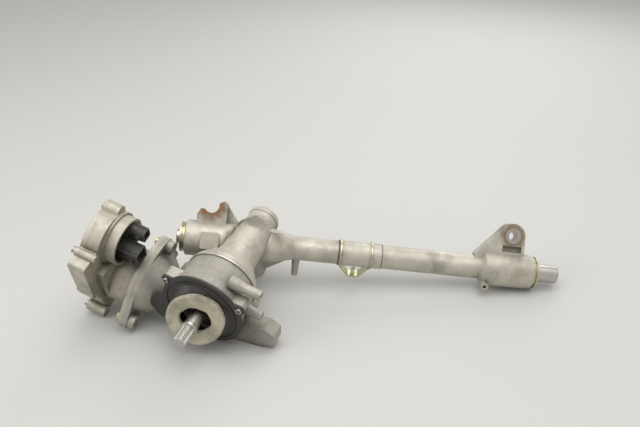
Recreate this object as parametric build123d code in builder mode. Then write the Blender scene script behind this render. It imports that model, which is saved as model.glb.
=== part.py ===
from build123d import *
import os
from math import acos, atan, atan2, cos, degrees, pi, radians, sin, tan

# Electric power steering rack with a single pinion. Millimetres, +Z up.
# The origin is the centre of the left boot seat's outer face, and the rack runs along +X.

os.makedirs("parts", exist_ok=True)

# ---------------------------------------------------------------- fits
RUN_FIT = 0.05            # radial clearance of a running fit
SEAT_FIT = 0.02           # radial clearance of a fixed fit
FACE_GAP = 0.3            # gap between faces that turn past each other

# ---------------------------------------------------------------- rack bar and its housing, along X
RACK_RADIUS = 13.0
RACK_LENGTH = 555.0
RACK_START = -6.0         # left end of the bar
RACK_NECK_RADIUS = 10.5
RACK_NECK_LENGTH = 14.0
RACK_THREAD_RADIUS = 7.0
RACK_THREAD_DEPTH = 22.0
TRAVEL_LEFT = 102.0
TRAVEL_RIGHT = 38.0
HOUSING_LENGTH = 516.0    # over the two boot seats
TUBE_RADIUS = 17.0
TUBE_BORE_RADIUS = 13.8
SLEEVE_START = 227.0
SLEEVE_LENGTH = 62.0
SLEEVE_RADIUS = 18.0
LEFT_BODY_RADIUS = 25.5
PAD_X = 43.0              # machined pad on the left body
PAD_LENGTH = 26.0
PAD_WIDTH = 24.0
PAD_RISE = 27.5
PAD_CORNER = 3.0
PAD_ANGLE = 28.0          # degrees that the pad faces above the level
NECK_START = 128.0        # where the pinion housing begins to taper into the tube
NECK_LENGTH = 34.0
RIGHT_BODY_RADIUS = 25.0
RIGHT_BODY_LENGTH = 76.0
RIGHT_BODY_TAPER = 6.0
LEFT_SEAT_RADIUS = 21.5
RIGHT_SEAT_RADIUS = 22.5
SEAT_LENGTH = 7.0
BOOT_ROOM_RADIUS = 25.5    # kept free round the rack for the tie rod and its boot
BOOT_ROOM_LENGTH = 260.0
RECESS_RADIUS = 20.5
RECESS_LEFT_DEPTH = 46.0
RECESS_RIGHT_DEPTH = 62.0
RING_DEPTH = 12.0         # how far a boot ring is pressed into its recess
RING_BORE_RADIUS = 18.0
BUSH_LENGTH = 16.0
GROOVE_WIDTH = 2.6
GROOVE_DEPTH = 1.4

# ---------------------------------------------------------------- pinion axis
PINION_X = 102.0
SHAFT_SKEW = 20.0         # degrees off the square line across the rack
SHAFT_DIP = 14.0          # degrees that the input shaft drops towards the front
DRIVE_ROLL = 5.0          # degrees that the drive unit is rolled about the pinion axis

# ---------------------------------------------------------------- rack and pinion teeth
TOOTH_MODULE = 2.1
PRESSURE_ANGLE = 20.0
PINION_TEETH = 8
PINION_SHIFT = 0.5        # profile shift, in modules
TOOTH_BACKLASH = 0.20
RACK_PITCH_HEIGHT = 6.5   # rack axis to the rack's pitch plane
TOOTH_ADDENDUM = 1.0      # in modules
TOOTH_DEDENDUM = 1.25
TIP_RELIEF = 0.25
PINION_FACE = 30.0

# ------------------------------------------------------ pinion housing, stations along the pinion axis
TOWER_END = -42.0
TOWER_RADIUS = 22.5
TOWER_BORE_RADIUS = 18.0
TOWER_CAP_THICKNESS = 3.0
PINION_BODY_RADIUS = 27.0
PINION_BODY_END = 46.0
BELL_START = 60.0
SEAM_STATION = 95.0
SEAM_RADIUS = 49.0
SEAM_FLANGE = 7.0
SEAM_RIM = 1.5            # how far the thin rim at the seam stands out
SEAM_RIM_WIDTH = 3.0
SEAM_LUG_ANGLES = (190.0, 262.0, 338.0)
SEAM_LUG_REACH = 54.0
SEAM_LUG_RADIUS = 6.5
SEAM_LUG_DEPTH = 14.0
SEAM_SCREW_RADIUS = 3.0
SEAM_HEAD_RADIUS = 5.0
SEAM_HEAD_HEIGHT = 4.0
PINION_CLEARANCE = 1.5
NOSE_RADIUS = 6.0
NOSE_LENGTH = 18.0
NOSE_BEARING_RADIUS = 10.0
NOSE_BEARING_WIDTH = 12.0
LOWER_BEARING_BORE = 8.5
LOWER_BEARING_RADIUS = 20.0
LOWER_BEARING_WIDTH = 12.0
LOWER_BEARING_STATION = 22.0
LOCK_RING_WIDTH = 6.0
LOCK_RING_BORE = 12.5
PINION_STEM_RADIUS = 9.5
UPPER_BEARING_BORE = 10.0
UPPER_BEARING_RADIUS = 18.5
UPPER_BEARING_WIDTH = 9.0

# ---------------------------------------------------------------- yoke
YOKE_BOSS_RADIUS = 23.0
YOKE_BOSS_LENGTH = 52.0
YOKE_RADIUS = 16.0
YOKE_LENGTH = 17.0
YOKE_SPRING_WIRE = 2.6
YOKE_SPRING_RADIUS = 8.0
YOKE_SPRING_TURNS = 2.5
YOKE_PLUG_LENGTH = 12.0
YOKE_SOCKET = 14.0        # across the flats of the plug's hexagon

# ---------------------------------------------------------------- worm drive
WHEEL_TEETH = 41
WHEEL_FACE = 14.0
WHEEL_BORE = 11.0
WHEEL_HUB_RADIUS = 17.0
WORM_STARTS = 2
WORM_RADIUS = 8.0         # pitch radius
WORM_DISTANCE = 44.0      # worm axis to pinion axis
WORM_LENGTH = 34.0
THREAD_SINK = 0.3         # how far the thread's root is sunk into the worm's core
WORM_BACKLASH = 0.35
WHEEL_STATION = 116.0     # middle of the wheel, along the pinion axis
WORM_SHAFT_RADIUS = 6.0
WORM_BEARING_RADIUS = 14.0
WORM_BEARING_WIDTH = 8.0
WORM_BEARING_STATION = 26.0
RETAINER_WIDTH = 1.6
RETAINER_RADIUS = 14.9
RETAINER_BORE = 11.5

# ---------------------------------------------------------------- gear housing
DRUM_FRONT = 145.0
DRUM_FRONT_RADIUS = 54.0
DRUM_BORE_RADIUS = 43.0
COVER_THICKNESS = 12.5
WORM_TUBE_RADIUS = 20.0
WORM_TUBE_END = 44.0
FUNNEL_START = 52.0       # distances from the wheel's middle towards the motor
MOTOR_FACE = 100.0
FLANGE_THICKNESS = 7.0
FLANGE_RADIUS = 45.0
EARS = ((23.0, 57.0), (222.0, 56.0))    # angle against the pinion axis and reach of each ear
EAR_RADIUS = 11.0
GEAR_SPACE_START = 100.0
COLUMN_BOSS_RADIUS = 24.0
COLUMN_HOLE_RADIUS = 14.0
EAR_SCREW_RADIUS = 4.0
EAR_HEAD_RADIUS = 6.5
EAR_HEAD_HEIGHT = 5.0
EAR_BOSS_LENGTH = 16.0
EAR_BLOCK_REACH = 48.0
EAR_BLOCK_ANGLE = 206.0
EAR_BLOCK_DEPTH = 16.0
EAR_BLOCK_WIDTH = 28.0
EAR_BLOCK_CORNER = 3.0
COUPLING_RADIUS = 13.0
COUPLING_HUB = 8.0
COUPLING_JAW = 8.0        # length of the jaws, and of the spider between them
COUPLING_JAW_WIDTH = 40.0 # degrees
COUPLING_EYE = 5.0        # radius of the spider's open middle
SIDE_BOSSES = ((49.5, 24.0, 67.0), (11.0, 44.0, 74.0))   # height, start and end beside the drum
SIDE_BOSS_RADIUS = 6.5
SIDE_BOSS_STATION = 125.0
SIDE_BOSS_TAPER = 9.0     # degrees
SIDE_BOSS_BORE = 2.8
SIDE_BOSS_DRILL = 14.0
WEB_THICKNESS = 6.0
FLANGE_CORNER = (-27.0, -45.0)
FLANGE_CORNER_RADIUS = 5.0
COLLAR_BOSS_LENGTH = 16.0
FOOT_START = 112.0
FOOT_WIDTH = 22.0
FOOT_OUTLINE = ((30, -50), (51, -65), (82, -43), (101, -26), (98, -9), (84, -3), (60, -11), (44, -16))
COVER_RADIUS = 49.3

# ---------------------------------------------------------------- input shaft
INPUT_RADIUS = 9.5
INPUT_BEARING_RADIUS = 16.0
INPUT_BEARING_WIDTH = 7.5
SPIGOT_RADIUS = 7.5
SPIGOT_LENGTH = 12.0
INPUT_END = 206.0
SPLINE_LENGTH = 24.0
SPLINE_RADIUS = 8.6
SPLINE_TEETH = 24
SPLINE_DEPTH = 0.8
SHOULDER_RADIUS = 10.4
TORSION_RADIUS = 3.0
TORSION_HEAD_RADIUS = 4.0
TORSION_HEAD_LENGTH = 16.0
TORSION_START = 50.0
TORSION_TOP = 10.0        # torsion bar's end to the input shaft's end
SENSOR_RADIUS = 34.0
SENSOR_BORE = 14.5
SENSOR_WIDTH = 5.0
MAGNET_RADIUS = 13.0
SEAL_WIDTH = 3.6

# ---------------------------------------------------------------- dust collar and foam ring
COLLAR_PLATE = 3.0
COLLAR_RADIUS = 57.0
COLLAR_GROOVE_RADIUS = 49.5
COLLAR_GROOVE_WIDTH = 3.0
COLLAR_GROOVE_DEPTH = 1.2
LOBE_RADIUS = 26.0
LOBE_X = -48.0
LOBE_Y = -30.0
COLLAR_BASE_RADIUS = 46.0
COLLAR_RIM_RADIUS = 37.5
COLLAR_WALL = 3.0
COLLAR_TILT = 20.0        # degrees that the collar's mouth leans
COLLAR_TILT_AIM = 60.0    # degrees, the side towards which the mouth is low
COLLAR_MOUTH_RADIUS = 25.0
FOAM_OUTER_RADIUS = 38.5
FOAM_INNER_RADIUS = 20.0
FOAM_THICKNESS = 8.0
COLLAR_EAR_ANGLES = (152.0, 34.5, 270.0)
COLLAR_EAR_REACH = 60.5
COLLAR_EAR_RADIUS = 6.5
SCREW_RADIUS = 2.4
SCREW_HEAD_RADIUS = 4.2
SCREW_HEAD_HEIGHT = 2.6
SCREW_LENGTH = 12.0

# ---------------------------------------------------------------- mounting points
MOUNT_RISE = 50.0         # rack axis to the mounting holes
MOUNT_LEAN = 30.0         # degrees that the mounting holes' rise leans back
RIGHT_MOUNT_INSET = 39.0  # from the right boot seat's outer face
LEFT_MOUNT_X = 38.5
EYE_RADIUS = 18.0
EYE_WIDTH = 20.0
EYE_BORE_RADIUS = 11.5
BUSHING_BORE_RADIUS = 6.5
BUSHING_PROUD = 1.0
NOTCH_RADIUS = 12.5
EYE_WEB_ANGLE = 42.0      # degrees above level where the eye's web meets its round end
EYE_POCKET = 8.0          # depth of the cored pocket below the eye
EYE_POCKET_WALL = 4.0     # web left on each side of the pocket
EYE_POCKET_DROP = 15.0    # from the eye's centre to the pocket's upper edge
SADDLE_CROWN = ((-18, -15), (-14, -7), (-7, -7), (11, 2), (18, 6), (24, 2))  # from the notch's centre
FIN_START = 20.0          # from the notch's centre along the rack
FIN_END = 42.0
FIN_RISE = 5.0            # fin's peak above the notch's centre
FIN_DROP = 24.0           # fin's low end below the notch's centre
FIN_THICKNESS = 6.0

# ---------------------------------------------------------------- motor and control unit
MOTOR_RADIUS = 40.5
MOTOR_WALL = 3.0
MOTOR_BEVEL = 2.0
MOTOR_LENGTH = 42.0
MOTOR_FLANGE = 6.0
MOTOR_SHAFT_RADIUS = 5.0
MOTOR_BEARING_RADIUS = 11.0
MOTOR_BEARING_WIDTH = 7.0
PILOT_RADIUS = 30.0
PILOT_LENGTH = 4.0
END_PLATE = 4.0
STATOR_SETBACK = 5.0
STATOR_YOKE = 5.0
STATOR_TOOTH = 5.0
COIL_THICKNESS = 3.0
STATOR_BORE_RADIUS = 24.0
STATOR_TEETH = 12
STATOR_LENGTH = 22.0
COIL_OVERHANG = 3.0
ROTOR_RADIUS = 21.0
MAGNET_THICKNESS = 2.4
ROTOR_POLES = 8
ECU_TURN = 13.0           # degrees that the control unit is turned about the motor axis
ECU_DEPTH = 18.0
ECU_BOX_DEPTH = 27.0
ECU_WALL = 3.0
COVER_PLATE = 6.0
COVER_PANEL = 1.5
COVER_MARGIN = 13.0       # edge of the cover to its raised middle
BOARD_THICKNESS = 1.6
ECU_RIM = 4.5
ECU_CORNER = 6.0
ECU_ROUND_X = -4.0         # round part about the connector turret
ECU_ROUND_Y = -72.5
ECU_ROUND_RADIUS = 41.5
ECU_OUTLINE = ((-42, -70), (-31, 49), (45, 49), (48, 4), (59, -28), (59, -96), (26, -96), (10, -70))
ECU_BOX_OUTLINE = ((3, -58), (41, -60), (40, 12), (18, 30), (3, 22))
ECU_BOX_CORNER = 3.0
ECU_BOX_STEP = 5.0        # width of the low step round the box
ECU_BOX_STEP_DEPTH = 12.0
ECU_LUGS = (
    (38.0, -97.0, 5.5, 23.0),    # place across the motor axis, radius and length of each lug
    (-31.0, -103.0, 10.0, 16.0),
    (53.0, -14.0, 5.5, 15.0),
    (51.0, 38.0, 8.0, 22.0),
    (-35.0, 46.0, 7.0, 15.0),
    (-47.0, -52.0, 6.5, 15.0),
)
ECU_SCREW_RADIUS = 2.4
ECU_SCREW_DEPTH = 14.0
ECU_HEAD_RADIUS = 4.4
ECU_HEAD_HEIGHT = 4.5
BOARD_SETBACK = 7.0
BOARD_POSTS = ((-32, -78), (34, -72), (34, 34), (-18, 36))
BOARD_POST_RADIUS = 4.0
TURRET_X = -10.0          # connector turret, across the motor axis
TURRET_Y = -75.0
TURRET_RADIUS = 33.0
TURRET_HEIGHT = 35.0
TURRET_WALL = 3.5
TURRET_STEP = 3.0         # width and height of the step round the turret's root
SOCKET_DEPTH = 14.0
SOCKET_WALL = 2.2
SOCKET_CORNER = 3.0
POWER_SOCKET = (-4.0, -66.0, 22.0, 26.0, 40.0)       # place across the motor axis, width, height and reach
SIGNAL_SOCKET = (-24.0, -88.0, 15.0, 18.0, 38.0)

# ---------------------------------------------------------------- small fittings on the tube
POST_X = 167.0
POST_END_RADIUS = 4.6
POST_TAPER = 3.0          # degrees
POST_END = 46.0
CLIP_X = 252.0
CLIP_WIDTH = 14.0
CLIP_SHEET = 2.0
CLIP_TOP = 23.0           # half of the clip's width at the tube
CLIP_FOOT = 8.0           # half of the clip's width at its foot
CLIP_DROP = 17.0
CLIP_POST_RADIUS = 5.0
CLIP_STEM_RADIUS = 3.0
CLIP_PLUG_HEAD = 6.0
CLIP_PLUG_STEM = 12.0
BOSS_INSET = 76.0         # from the right boot seat's outer face
BOSS_DROP = 13.0
BOSS_LENGTH = 16.0
BOSS_RADIUS = 5.5
BOSS_BORE = 2.6
UPPER_WEB = ((4, 33), (12, 22), (42, 12))   # heights of the web from the tower down to the tube
UPPER_WEB_THICKNESS = 10.0
LOWER_WEB_DROP = 40.0     # web from the yoke boss down to the tube
LOWER_WEB_END = 38.0      # its end, past the start of the neck
LOWER_WEB_END_DROP = 12.0
LOWER_WEB_THICKNESS = 8.0

# ================================================================ worked-out frames
skew = radians(SHAFT_SKEW)
dip = radians(SHAFT_DIP)
roll = radians(DRIVE_ROLL)
shaft_dir = Vector(-sin(skew), -cos(skew) * cos(dip), -cos(skew) * sin(dip))
mesh_dir = Vector(0, -sin(dip), cos(dip))
level_dir = mesh_dir.cross(shaft_dir)
drive_dir = level_dir * cos(roll) - mesh_dir * sin(roll)
rise_dir = shaft_dir.cross(drive_dir)

pinion_pitch_radius = PINION_TEETH * TOOTH_MODULE / (2 * cos(skew))
pinion_rise = RACK_PITCH_HEIGHT + pinion_pitch_radius + PINION_SHIFT * TOOTH_MODULE
crossing = Vector(PINION_X, 0, 0) + mesh_dir * pinion_rise
worm_centre = crossing + shaft_dir * WHEEL_STATION - rise_dir * WORM_DISTANCE

turn = radians(ECU_TURN)
ecu_dir = shaft_dir * cos(turn) - rise_dir * sin(turn)

shaft_axis = Axis(crossing, shaft_dir)
worm_axis = Axis(worm_centre, drive_dir)
along_shaft = Plane(origin=crossing, x_dir=shaft_dir, z_dir=drive_dir)
along_worm = Plane(origin=worm_centre, x_dir=drive_dir, z_dir=shaft_dir)


def across_shaft(station):
    """Plane square to the pinion axis, its x towards the motor's far side and its y upwards."""
    return Plane(origin=crossing + shaft_dir * station, x_dir=drive_dir, z_dir=shaft_dir)


def across_worm(station):
    """Plane square to the worm axis, its x along the pinion axis and its y downwards."""
    return Plane(origin=worm_centre + drive_dir * station, x_dir=shaft_dir, z_dir=drive_dir)


def across_ecu(station):
    """Plane square to the motor axis, turned with the control unit."""
    return Plane(origin=worm_centre - drive_dir * station, x_dir=ecu_dir, z_dir=drive_dir)


def across_rack(x):
    """Plane square to the rack."""
    return Plane(origin=(x, 0, 0), x_dir=(0, 1, 0), z_dir=(1, 0, 0))


def across_yoke(depth):
    """Plane square to the yoke's axis, on the side of the rack away from the pinion."""
    return Plane(origin=Vector(PINION_X, 0, 0) - mesh_dir * depth, x_dir=(1, 0, 0), z_dir=mesh_dir * -1)


def rod(plane, radius, length, mode=Mode.ADD):
    """Cylinder that rises from the plane."""
    with BuildSketch(plane) as profile:
        Circle(radius)
    extrude(profile.sketch, amount=length, mode=mode)


def tube(plane, outer, inner, length):
    """Plain ring that rises from the plane."""
    with BuildSketch(plane) as profile:
        Circle(outer)
        Circle(inner, mode=Mode.SUBTRACT)
    extrude(profile.sketch, amount=length)


def pins(plane, angles, reach, radius, length, mode=Mode.ADD):
    """Cylinders on a circle, at the given angles."""
    with BuildSketch(plane) as profile:
        for angle in angles:
            with PolarLocations(reach, 1, start_angle=angle):
                Circle(radius)
    extrude(profile.sketch, amount=length, mode=mode)


def lugs(plane, angles, reach, radius, length):
    """Round lugs that stand out of a body, each blended towards the axis."""
    for angle in angles:
        with BuildSketch(plane) as profile:
            with PolarLocations(reach, 1, start_angle=angle):
                Circle(radius)
            with PolarLocations(reach - 2 * radius, 1, start_angle=angle):
                Circle(2 * radius)
            make_hull()
        extrude(profile.sketch, amount=length)


def turned(plane, axis, outline, mode=Mode.ADD):
    """Solid of revolution from an outline of (station, radius) points."""
    with BuildSketch(plane) as profile:
        with BuildLine():
            Polyline(*outline, close=True)
        make_face()
    revolve(profile.sketch, axis=axis, mode=mode)


def finish(part, name):
    """Label a finished piece and write it."""
    part.label = name
    export_step(part, f"parts/{name}.step")


# ================================================================ rack bar
rack_tip = RACK_PITCH_HEIGHT + TOOTH_ADDENDUM * TOOTH_MODULE
rack_root = RACK_PITCH_HEIGHT - TOOTH_DEDENDUM * TOOTH_MODULE
rack_pitch = pi * TOOTH_MODULE
pinion_tip_radius = pinion_pitch_radius + (TOOTH_ADDENDUM + PINION_SHIFT) * TOOTH_MODULE - TIP_RELIEF
pinion_reach = pinion_tip_radius + PINION_FACE / 2 * sin(skew)
teeth_start = PINION_X - TRAVEL_RIGHT - pinion_reach
teeth_end = PINION_X + TRAVEL_LEFT + pinion_reach
along_mesh = Plane(origin=(PINION_X, 0, 0), x_dir=(1, 0, 0), z_dir=(0, -cos(dip), -sin(dip)))


def rack_gap(middle):
    """Outline of the gap between two rack teeth, open past the tooth tips."""
    slope = tan(radians(PRESSURE_ANGLE))
    over = rack_tip + 1
    half_pitch_gap = rack_pitch / 4 + TOOTH_BACKLASH / 4
    half_root = half_pitch_gap - (RACK_PITCH_HEIGHT - rack_root) * slope
    half_over = half_pitch_gap + (over - RACK_PITCH_HEIGHT) * slope
    return [
        (middle - half_root, rack_root),
        (middle + half_root, rack_root),
        (middle + half_over, over),
        (middle - half_over, over),
    ]


with BuildPart() as rack_bar:
    with BuildSketch(across_rack(RACK_START)):
        Circle(RACK_RADIUS)
    extrude(amount=RACK_LENGTH)
    with BuildSketch(across_rack(RACK_START)):
        Circle(RACK_RADIUS + 1)
        Circle(RACK_NECK_RADIUS, mode=Mode.SUBTRACT)
    extrude(amount=RACK_NECK_LENGTH, mode=Mode.SUBTRACT)
    chamfer(rack_bar.edges().filter_by(GeomType.CIRCLE).group_by(Axis.X)[-1], 1.5)
    chamfer(rack_bar.edges().filter_by(GeomType.CIRCLE).group_by(Axis.X)[0], 1.0)
    with BuildSketch(along_mesh):
        with Locations(((teeth_start + teeth_end) / 2 - PINION_X, rack_tip + RACK_RADIUS / 2)):
            Rectangle(teeth_end - teeth_start, RACK_RADIUS)
    extrude(amount=RACK_RADIUS, both=True, mode=Mode.SUBTRACT)
    gap_count = int((teeth_end - teeth_start) / rack_pitch) - 1
    first_gap = -int((PINION_X - teeth_start) / rack_pitch - 0.5)
    with BuildSketch(along_mesh):
        for index in range(gap_count):
            with BuildLine():
                Polyline(*rack_gap((first_gap + index) * rack_pitch), close=True)
            make_face()
    extrude(amount=RACK_RADIUS, both=True, mode=Mode.SUBTRACT)
    rod(across_rack(RACK_START), RACK_THREAD_RADIUS, RACK_THREAD_DEPTH, Mode.SUBTRACT)
    rod(across_rack(RACK_START + RACK_LENGTH - RACK_THREAD_DEPTH), RACK_THREAD_RADIUS, RACK_THREAD_DEPTH,
        Mode.SUBTRACT)
finish(rack_bar.part, "rack_bar")

# ================================================================ pinion
transverse_angle = atan(tan(radians(PRESSURE_ANGLE)) / cos(skew))
base_radius = pinion_pitch_radius * cos(transverse_angle)
pinion_root_radius = pinion_pitch_radius + (PINION_SHIFT - TOOTH_DEDENDUM) * TOOTH_MODULE
pinion_thickness = (
    pi * TOOTH_MODULE / (2 * cos(skew))
    + 2 * PINION_SHIFT * TOOTH_MODULE * tan(transverse_angle)
    - TOOTH_BACKLASH / 2
)


def involute(angle):
    """Involute function of a pressure angle in radians."""
    return tan(angle) - angle


def half_tooth_angle(radius):
    """Half of the angle that a pinion tooth spans at a radius."""
    flank = acos(min(1.0, base_radius / radius))
    return pinion_thickness / (2 * pinion_pitch_radius) + involute(transverse_angle) - involute(flank)


def polar(radius, angle):
    """Point of a sketch at a radius and an angle in radians."""
    return (radius * cos(angle), radius * sin(angle))


def pinion_section(plane, lead_angle):
    """Transverse section of the pinion, with one tooth at the lead angle."""
    steps = 5
    rise = (pinion_tip_radius - base_radius) / steps
    radii = [base_radius + rise * index for index in range(steps + 1)]
    with BuildSketch(plane) as section:
        Circle(pinion_root_radius)
        for tooth in range(PINION_TEETH):
            middle = lead_angle + 2 * pi * tooth / PINION_TEETH
            right = [polar(radius, middle - half_tooth_angle(radius)) for radius in radii]
            left = [polar(radius, middle + half_tooth_angle(radius)) for radius in radii]
            with BuildLine():
                Line((0, 0), right[0])
                Spline(*right)
                ThreePointArc(right[-1], polar(pinion_tip_radius, middle), left[-1])
                Spline(*left[::-1])
                Line(left[0], (0, 0))
            make_face()
    return section.sketch.face()


across_pinion = Plane(
    origin=crossing - shaft_dir * (PINION_FACE / 2),
    x_dir=level_dir,
    z_dir=shaft_dir,
)
pinion_twist = tan(skew) * PINION_FACE / pinion_pitch_radius
pinion_start = pinion_section(across_pinion, -pi / 2 - pinion_twist / 2)
pinion_teeth = Solid.extrude_linear_with_rotation(
    pinion_start, across_pinion.origin, shaft_dir * PINION_FACE, degrees(pinion_twist)
)
wheel_start = WHEEL_STATION - WHEEL_FACE / 2
wheel_end = WHEEL_STATION + WHEEL_FACE / 2
upper_bearing_station = wheel_start - 1.5 - UPPER_BEARING_WIDTH
spigot_start = wheel_end - SPIGOT_LENGTH

with BuildPart() as pinion_shaft:
    add(pinion_teeth)
    half = PINION_FACE / 2
    turned(along_shaft, shaft_axis, [
        (-half - NOSE_LENGTH, 0),
        (-half - NOSE_LENGTH, NOSE_RADIUS - 0.8),
        (-half - NOSE_LENGTH + 0.8, NOSE_RADIUS),
        (-half, NOSE_RADIUS),
        (-half, pinion_root_radius - 0.5),
        (half, pinion_root_radius - 0.5),
        (half, LOWER_BEARING_BORE + 1.5),
        (LOWER_BEARING_STATION, LOWER_BEARING_BORE + 1.5),
        (LOWER_BEARING_STATION, LOWER_BEARING_BORE),
        (LOWER_BEARING_STATION + LOWER_BEARING_WIDTH + 3, LOWER_BEARING_BORE),
        (LOWER_BEARING_STATION + LOWER_BEARING_WIDTH + 5, PINION_STEM_RADIUS),
        (upper_bearing_station - 1, PINION_STEM_RADIUS),
        (upper_bearing_station, UPPER_BEARING_BORE),
        (wheel_start, UPPER_BEARING_BORE),
        (wheel_start, WHEEL_BORE),
        (wheel_end, WHEEL_BORE),
        (wheel_end, 0),
    ])
    rod(across_shaft(TORSION_START - 2), TORSION_HEAD_RADIUS + RUN_FIT, wheel_end, Mode.SUBTRACT)
    rod(across_shaft(spigot_start), SPIGOT_RADIUS + RUN_FIT, SPIGOT_LENGTH + 1, Mode.SUBTRACT)
finish(pinion_shaft.part, "pinion_shaft")


def ball_bearing(name, plane_at, stations, bore, outer, width):
    """Inner and outer races of the sealed bearings on a shaft, with a running gap between them.

    The inner race is narrower, so that only the outer one meets the housing's shoulders.
    """
    race = (outer - bore) / 2 - RUN_FIT / 2
    with BuildPart() as inner_race:
        for station in stations:
            tube(plane_at(station + FACE_GAP), bore + race, bore, width - 2 * FACE_GAP)
    with BuildPart() as outer_race:
        for station in stations:
            tube(plane_at(station), outer, outer - race, width)
    finish(inner_race.part, f"{name}_inner")
    finish(outer_race.part, f"{name}_outer")



ball_bearing("pinion_bearing", across_shaft, [LOWER_BEARING_STATION], LOWER_BEARING_BORE,
             LOWER_BEARING_RADIUS, LOWER_BEARING_WIDTH)
ball_bearing("column_bearing", across_shaft, [upper_bearing_station], UPPER_BEARING_BORE,
             UPPER_BEARING_RADIUS, UPPER_BEARING_WIDTH)

with BuildPart() as nose_bearing:
    tube(across_shaft(-PINION_FACE / 2 - NOSE_LENGTH + 2), NOSE_BEARING_RADIUS, NOSE_RADIUS + RUN_FIT,
         NOSE_BEARING_WIDTH)
finish(nose_bearing.part, "nose_bearing")

with BuildPart() as lock_ring:
    tube(across_shaft(LOWER_BEARING_STATION + LOWER_BEARING_WIDTH), LOWER_BEARING_RADIUS, LOCK_RING_BORE,
         LOCK_RING_WIDTH)
finish(lock_ring.part, "bearing_lock_ring")

# ================================================================ worm wheel and worm
wheel_pitch_radius = WORM_DISTANCE - WORM_RADIUS
axial_module = 2 * wheel_pitch_radius / WHEEL_TEETH
axial_pitch = pi * axial_module
worm_lead = WORM_STARTS * axial_pitch
lead_slope = worm_lead / (2 * pi * WORM_RADIUS)
wheel_tip_radius = wheel_pitch_radius + axial_module
wheel_root_radius = wheel_pitch_radius - 1.25 * axial_module
worm_tip_radius = WORM_RADIUS + axial_module
worm_root_radius = WORM_RADIUS - 1.2 * axial_module
flank_slope = tan(radians(PRESSURE_ANGLE))
wheel_twist = lead_slope * WHEEL_FACE / wheel_pitch_radius


def wheel_section(plane, lead_angle):
    """Transverse section of the worm wheel, with one tooth at the lead angle."""
    half_pitch = (axial_pitch - WORM_BACKLASH) / 4
    half_tip = half_pitch - axial_module * flank_slope
    half_root = half_pitch + (wheel_pitch_radius - wheel_root_radius) * flank_slope
    with BuildSketch(plane) as section:
        Circle(wheel_root_radius)
        for tooth in range(WHEEL_TEETH):
            middle = lead_angle + 2 * pi * tooth / WHEEL_TEETH
            with BuildLine():
                Polyline(
                    (0, 0),
                    polar(wheel_root_radius, middle - half_root / wheel_root_radius),
                    polar(wheel_tip_radius, middle - half_tip / wheel_tip_radius),
                    polar(wheel_tip_radius, middle + half_tip / wheel_tip_radius),
                    polar(wheel_root_radius, middle + half_root / wheel_root_radius),
                    close=True,
                )
            make_face()
    return section.sketch.face()


wheel_plane = across_shaft(wheel_start)
wheel_teeth = Solid.extrude_linear_with_rotation(
    wheel_section(wheel_plane, -pi / 2 - wheel_twist / 2),
    wheel_plane.origin,
    shaft_dir * WHEEL_FACE,
    degrees(wheel_twist),
)
with BuildPart() as wheel_rim:
    add(wheel_teeth)
    rod(across_shaft(wheel_start), WHEEL_HUB_RADIUS, WHEEL_FACE, Mode.SUBTRACT)
    for face_station in (wheel_start - 1, wheel_end - 3):
        with BuildSketch(across_shaft(face_station)):
            Circle(wheel_root_radius - 5)
            Circle(WHEEL_HUB_RADIUS + 3, mode=Mode.SUBTRACT)
        extrude(amount=4, mode=Mode.SUBTRACT)
finish(wheel_rim.part, "worm_wheel_rim")

with BuildPart() as wheel_hub:
    tube(across_shaft(wheel_start), WHEEL_HUB_RADIUS, WHEEL_BORE, WHEEL_FACE)
finish(wheel_hub.part, "worm_wheel_hub")

worm_right_bearing = WORM_BEARING_STATION
worm_left_bearing = -WORM_BEARING_STATION - WORM_BEARING_WIDTH
thread_height = worm_tip_radius - worm_root_radius + THREAD_SINK
thread_half_tip = (axial_pitch - WORM_BACKLASH) / 4 - axial_module * flank_slope
thread_half_root = thread_half_tip + thread_height * flank_slope
helix_start = Plane(origin=worm_centre, z_dir=drive_dir).x_dir
start_angle = atan2(helix_start.dot(shaft_dir), helix_start.dot(rise_dir))
thread_length = worm_lead * int((WORM_LENGTH - axial_pitch) / worm_lead)
thread_phase = start_angle / (2 * pi) * WORM_STARTS
retainer_station = worm_left_bearing - 0.1 - RETAINER_WIDTH
coupling_end = FACE_GAP - retainer_station

with BuildPart() as worm_shaft:
    with BuildSketch(along_worm):
        with BuildLine():
            Polyline(
                (-coupling_end - COUPLING_HUB, 0),
                (-coupling_end - COUPLING_HUB, WORM_SHAFT_RADIUS),
                (-WORM_LENGTH / 2 - 3, WORM_SHAFT_RADIUS),
                (-WORM_LENGTH / 2 - 1, worm_root_radius),
                (WORM_LENGTH / 2 + 1, worm_root_radius),
                (WORM_LENGTH / 2 + 3, WORM_SHAFT_RADIUS),
                (worm_right_bearing + WORM_BEARING_WIDTH + 2, WORM_SHAFT_RADIUS),
                (worm_right_bearing + WORM_BEARING_WIDTH + 2, 0),
                close=True,
            )
        make_face()
    revolve(axis=worm_axis)
    for start in range(WORM_STARTS):
        first = (start + thread_phase + 0.5) * axial_pitch - thread_length / 2
        with BuildLine():
            helix = Helix(worm_lead, thread_length, worm_root_radius - THREAD_SINK,
                          center=worm_centre + drive_dir * first, direction=drive_dir)
        with BuildSketch(Plane(origin=helix @ 0, x_dir=drive_dir, z_dir=drive_dir.cross(helix_start))):
            with BuildLine():
                Polyline(
                    (-thread_half_root, 0),
                    (thread_half_root, 0),
                    (thread_half_tip, thread_height),
                    (-thread_half_tip, thread_height),
                    close=True,
                )
            make_face()
        sweep(path=helix, is_frenet=True)
finish(worm_shaft.part, "worm_shaft")

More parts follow.
